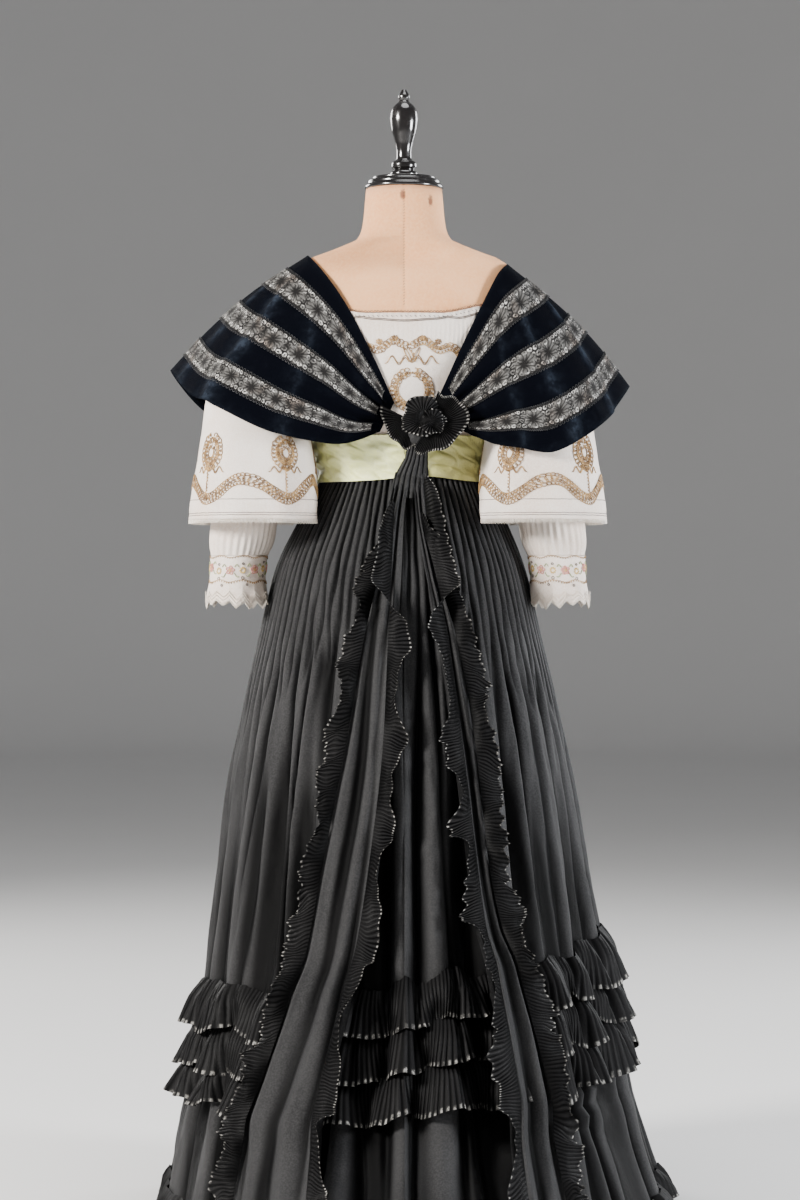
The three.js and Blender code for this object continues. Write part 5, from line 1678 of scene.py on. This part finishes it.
# A ruffle lies flat in lobes and stands on edge between them. outwards is -1 or 1 across the back.
def makeRuffle(name, node, side, outwards, first, seed, look):
    inner = (side == "left") == (outwards > 0)
    levels = np.linspace(first, streamerFoot, look["columns"])
    part, level = np.meshgrid(np.linspace(0, 1, look["rows"]), levels, indexing="ij")
    edge = smoothTable(streamerEdges[side], "from" if outwards < 0 else "to", level)
    lie = smoothTable(streamerLift, "lift", level)
    down = first - level
    lobe = down / look["lobe"] * fullTurn + 1.9 * unevenness(seed, level / 120, 0) + seed
    lying = smoothStep(np.sin(lobe), -0.8, 0.7)
    ragged = 1 + 0.15 * unevenness(seed + 1, level / 15, 0) + 0.11 * unevenness(seed + 2, level / 3.1, 0)
    wide = look["wide"] * (0.8 + 0.2 * lying) * smoothStep(down, -18, 50) * ragged
    angle = lerp(look["upright"], look["flat"], lying)
    if inner:
        # where the two ends lie close together the ruffle is laid back over its own cloth
        rightEdge = smoothTable(streamerEdges["right"], "from", level)
        leftEdge = smoothTable(streamerEdges["left"], "to", level)
        room = (rightEdge - leftEdge) / 2 - look["gap"]
        fits = np.degrees(np.arccos(np.clip((room - look["betweenPair"]) / wide.max(), -1, 1)))
        laid = smoothStep(level, look["layTo"], look["layFrom"])
        angle = lerp(np.maximum(angle, fits), look["lay"], laid)
    # small waves run along the free edge
    angle = (angle + 17 * unevenness(seed + 3, level / 7.5, 0) * part) * degree
    reach = part * wide
    over = np.maximum(0, -np.cos(angle))
    across = edge + outwards * (look["gap"] + reach * np.cos(angle))
    sweep = look["sweep"] * (0.75 + 0.5 * np.sin(lobe + 0.9) + 0.35 * unevenness(seed + 4, level / 14, 0))
    # the pleats wander as they cross the strip, like flames
    wander = 3.4 * unevenness(seed + 5, level / 10, part * 2.6, 5) * smoothStep(part, 0, 0.5)
    shifted = np.clip(level - reach * sweep * (1 - 0.35 * part) + wander, 8, streamerTop)
    phase = down / look["pleat"] + 0.5 * unevenness(seed + 6, level / 22, part * 2)
    ripple = look["deep"] * pleatWave(phase) * smoothStep(part, 0.02, 0.3) * (0.5 + 0.5 * part)
    puff = 3.0 * np.sin(math.pi * np.minimum(part * 1.2, 1)) + 3.5 * over * part
    points = overSkirt(across, shifted, lie + look["above"] + reach * np.sin(angle) + ripple + puff) * mm
    # painted shade where the ruffle stands on edge and next to its sewn edge
    dark = (1 - lying) * 0.6 + 0.5 * bell(part, 0.25)
    if outwards < 0:
        points, part, phase, dark = points[::-1], part[::-1], phase[::-1], dark[::-1]
    points = points.transpose(1, 0, 2)
    u, v = clothLengths(points)
    piece = placeGrid(name, points, frillSilk, (node,), u=phase.T, v=part.T)
    markPoints(piece, "hollow", dark.T)
    wideFlat = float(np.percentile(u.max(axis=1), 90))
    declareSheet(points, wideFlat, float(v.max()))


# Both ends come out from under the rosette as one gathered strand, which hides their tops
strandEdges = tableOf(
    "height from to",
    (1102, 8, 34), (1072, 0, 34), (1046, -13, 35), (1014, -20, 35),
)
strandTop, strandFoot = 1102, 1014
strandLook = {
    "columns": 80, "rows": 50, "folds": 6.5, "deep": 3.2, "round": 4,
    "overSash": 9, "overEnds": 5, "waist": 122, "sunk": 9,
}


def makeStrand(look):
    levels = np.linspace(strandTop, strandFoot, look["rows"])
    level, part = np.meshgrid(levels, np.linspace(0, 1, look["columns"]), indexing="ij")
    across = lerp(smoothTable(strandEdges, "from", level), smoothTable(strandEdges, "to", level), part)
    low = np.minimum(level, streamerTop)
    # its folds run out into the two ends
    sunk = look["sunk"] * smoothStep(sashFoot - level, 0, 24 + 5 * np.sin(part * 21))
    over = overSkirt(across, low, smoothTable(streamerLift, "lift", low) + look["overEnds"] - sunk)
    turn = np.arcsin(across / look["waist"])
    sash = bodySurface(turn, np.maximum(level, 1040), bodiceLift + look["overSash"])
    phase = part * look["folds"] + 0.5 * unevenness(141, part * 3, level / 45)
    ridges = look["deep"] * (np.abs(np.sin(phase * math.pi)) - 0.7)
    middle = np.sin(math.pi * part) ** 0.5
    out = (look["round"] + ridges) * middle - 3 * (1 - middle)
    front = lerp(over[..., 1], sash[..., 1], smoothStep(level, 1034, 1060))
    points = np.stack([across, front - out, level], axis=-1) * mm
    piece = placeCloth("sashEndStrand", points, silk, ())
    # painted shade between the ridges
    markPoints(piece, "hollow", smoothStep(-ridges, 0.2, 1.9))


makeStrand(strandLook)
makeStreamer("left", streamerLook)
makeStreamer("right", streamerLook)
ruffles = (  # side, edge, towards the left or right, highest point, seed
    ("left", "outer", -1, 962, 107), ("left", "inner", 1, 1000, 102),
    ("right", "inner", -1, 1036, 101), ("right", "outer", 1, 985, 105),
)
for side, edge, outwards, first, seed in ruffles:
    name = "ruffle" + side.capitalize() + edge.capitalize()
    makeRuffle(name, f"ruffle_{side}_{edge}", side, outwards, first, seed, ruffleLook)
print("sash ends made")


# Rosette: pleated silk fans round a crushed knot
knotLook = {"x": 24, "z": 1108, "from": -99.2, "to": -131.0}
rosetteLayers = [  # from the back forwards; angles in degrees, sizes in millimetres
    {
        "name": "rosetteLeft", "nodes": ("rosette_left",), "x": 9, "y": -121, "z": 1126, "radius": 42,
        "from": 158, "to": 292, "dish": 4, "tilt": 0, "pleats": 26, "crush": 1.2, "seed": 0.4,
    },
    {
        "name": "rosetteLarge", "nodes": ("rosette_large",), "x": 40, "y": -134, "z": 1121, "radius": 47,
        "from": -128, "to": 92, "dish": 7, "tilt": 0, "pleats": 46, "crush": 2.0, "seed": 1.0,
    },
    {
        "name": "rosetteFolded", "nodes": (), "x": 27, "y": -151, "z": 1127, "radius": 31,
        "from": 0, "to": 360, "dish": -13, "tilt": 4, "pleats": 38, "crush": 3.4, "seed": 2.7,
    },
    {
        "name": "rosetteHeart", "nodes": (), "x": 38, "y": -153, "z": 1120, "radius": 19,
        "from": -150, "to": 110, "dish": -7, "tilt": 3, "pleats": 20, "crush": 4.2, "seed": 4.1,
    },
]


def makeKnot(look):
    rows, columns = 26, 72
    share = np.linspace(0, 1, rows)
    turn = np.arange(columns) / columns * fullTurn
    angle, along = np.meshgrid(turn, share)
    wide = curveThrough([0, 0.4, 0.84, 1], [14, 19, 19, 12], along)
    tall = curveThrough([0, 0.4, 0.84, 1], [20, 26, 22, 13], along)
    crush = 1 - 0.07 * np.abs(np.sin(angle * 5 + along * 3)) - 0.05 * unevenness(111, angle * 3, along * 7)
    x = look["x"] + wide * crush * np.cos(angle)
    z = look["z"] + tall * crush * np.sin(angle)
    y = lerp(look["from"], look["to"], along)
    points = np.stack([x, y, z], axis=-1)
    ends = [[look["x"], look["from"], look["z"]], [look["x"], look["to"] - 2, look["z"]]]
    faces = gridFaces(rows, columns, True).tolist()
    first, last = rows * columns, rows * columns + 1
    for column in range(columns):
        after = (column + 1) % columns
        faces.append([first, column, after])
        faces.append([last, (rows - 1) * columns + after, (rows - 1) * columns + column])
    allPoints = np.concatenate([points.reshape(-1, 3), ends])
    placeMesh("sashKnot", allPoints * mm, faces, silk, ("sash_knot",))


# One pleated fan; it faces backwards, and its pleats run from its middle to its ragged edge
def makeFan(look, rows=14, columns=460):
    share = np.linspace(0.05, 1, rows)
    angles = np.linspace(look["from"], look["to"], columns) * degree
    angle, part = np.meshgrid(angles, share)
    seed = look["seed"]
    edge = 1 + 0.09 * np.sin(3 * angle + seed) + 0.05 * np.sin(7 * angle + seed * 2)
    radius = look["radius"] * part * edge
    phase = (angle - angles[0]) / (angles[-1] - angles[0]) * look["pleats"]
    twist = 0.22 * part * np.sin(2 * angle + seed)
    ripple = 1.3 * pleatWave(phase) * smoothStep(part, 0.1, 0.5)
    wave = 3.2 * np.sin(angle * 5 + seed) * part ** 2 + 1.6 * np.sin(angle * 9 - seed) * part ** 2
    x = look["x"] + radius * np.cos(angle + twist)
    z = look["z"] + radius * np.sin(angle + twist) * 0.94
    crush = look["crush"] * unevenness(int(seed * 10) + 120, x / 6, z / 7, 5) * (1 - 0.5 * part)
    cup = look["dish"] * part ** 2 * (1 + 0.3 * np.cos(angle - 0.6))
    y = look["y"] - (cup + ripple + wave + crush + look["tilt"] * part * np.cos(angle - 2.6))
    points = np.stack([x, y, z], axis=-1) * mm
    if look["to"] - look["from"] >= 360:
        points[:, -1] = points[:, 0]
    u, v = clothLengths(points)
    piece = placeGrid(look["name"], points, frillSilk, look["nodes"], u=phase, v=part)
    declareSheet(points, float(u[-1].max()), float(v.max()))


makeKnot(knotLook)
for layer in rosetteLayers:
    makeFan(layer)
print("rosette made")


# Pale floor that curves up into a pale wall far off, all round, and soft studio light
# Each light looks at a height, aim, on the dress form's axis
stageLook = {
    "floor": (0.80, 0.795, 0.79), "world": (0.8, 0.81, 0.83), "worldStrength": 0.25,
    "flatReach": 13.0, "wallReach": 19.0, "wallTall": 14.0,
    "key": {"place": (-3.1, -2.3, 2.25), "aim": 1.05, "size": 1.0, "power": 430, "colour": (1.0, 0.97, 0.93)},
    "fill": {"place": (3.4, -1.3, 1.2), "aim": 0.45, "size": 1.0, "power": 230, "colour": (0.95, 0.97, 1.0)},
    "top": {"place": (0.3, -0.3, 4.2), "aim": 0.9, "size": 2.0, "power": 70, "colour": (1.0, 1.0, 1.0)},
    "frontLeft": {
        "place": (-2.6, 3.0, 2.4), "aim": 0.9, "size": 1.8, "power": 110, "colour": (1.0, 0.98, 0.95),
    },
    "frontRight": {
        "place": (2.8, 2.6, 2.0), "aim": 0.9, "size": 1.8, "power": 90, "colour": (0.96, 0.98, 1.0),
    },
}


def placeLight(name, look):
    light = bpy.data.lights.new(name, "AREA")
    light.shape = "DISK"
    light.size = look["size"]
    light.energy = look["power"]
    light.color = look["colour"]
    holder = bpy.data.objects.new(name, light)
    holder.location = look["place"]
    aim = [end - start for end, start in zip((0, 0, look["aim"]), look["place"])]
    across = math.hypot(aim[0], aim[1])
    holder.rotation_euler = (math.atan2(across, -aim[2]), 0, math.atan2(aim[1], aim[0]) - math.pi / 2)
    bpy.context.scene.collection.objects.link(holder)


def makeStage(look):
    # a wide bowl: flat in the middle, then a quarter turn of an ellipse up to the wall's height
    sides, bends = 96, 14
    quarter = np.linspace(0, math.pi / 2, bends)
    reach = np.concatenate([[0.4, 2.0], lerp(look["flatReach"], look["wallReach"], np.sin(quarter))])
    rise = np.concatenate([[0, 0], look["wallTall"] * (1 - np.cos(quarter))]) - 0.0005
    angle = np.arange(sides) / sides * fullTurn
    x, y = reach[:, None] * np.cos(angle), reach[:, None] * np.sin(angle)
    points = np.stack([x, y, np.broadcast_to(rise[:, None], x.shape)], axis=-1)
    faces = gridFaces(len(reach), sides, True).tolist()
    faces.append(list(range(sides)))
    mesh = bpy.data.meshes.new("studioFloor")
    mesh.from_pydata(points.reshape(-1, 3).tolist(), [], faces)
    mesh.polygons.foreach_set("use_smooth", [True] * len(mesh.polygons))
    material, tree, shader = startMaterial("paleFloor", roughness=0.75, specular=0.2)
    grain = noiseOf(tree, placeOf(tree), 1.2, 3)
    darker = tuple(value * 0.96 for value in look["floor"])
    paint(tree, shader, mixColours(tree, grain, look["floor"], darker))
    mesh.materials.append(material)
    floor = bpy.data.objects.new("studioFloor", mesh)
    bpy.context.scene.collection.objects.link(floor)
    world = bpy.data.worlds.new("studio")
    world.use_nodes = True
    background = world.node_tree.nodes["Background"]
    background.inputs["Color"].default_value = (*look["world"], 1)
    background.inputs["Strength"].default_value = look["worldStrength"]
    bpy.context.scene.world = world
    for name in ("key", "fill", "top", "frontLeft", "frontRight"):
        placeLight(name + "Light", look[name])


makeStage(stageLook)


def countTriangles():
    shown = bpy.context.evaluated_depsgraph_get()
    total = 0
    for piece in bpy.context.scene.objects:
        if piece.type == "MESH" and not piece.hide_render:
            mesh = piece.evaluated_get(shown).to_mesh()
            total += sum(len(face.vertices) - 2 for face in mesh.polygons)
    return total


print("triangles:", countTriangles())
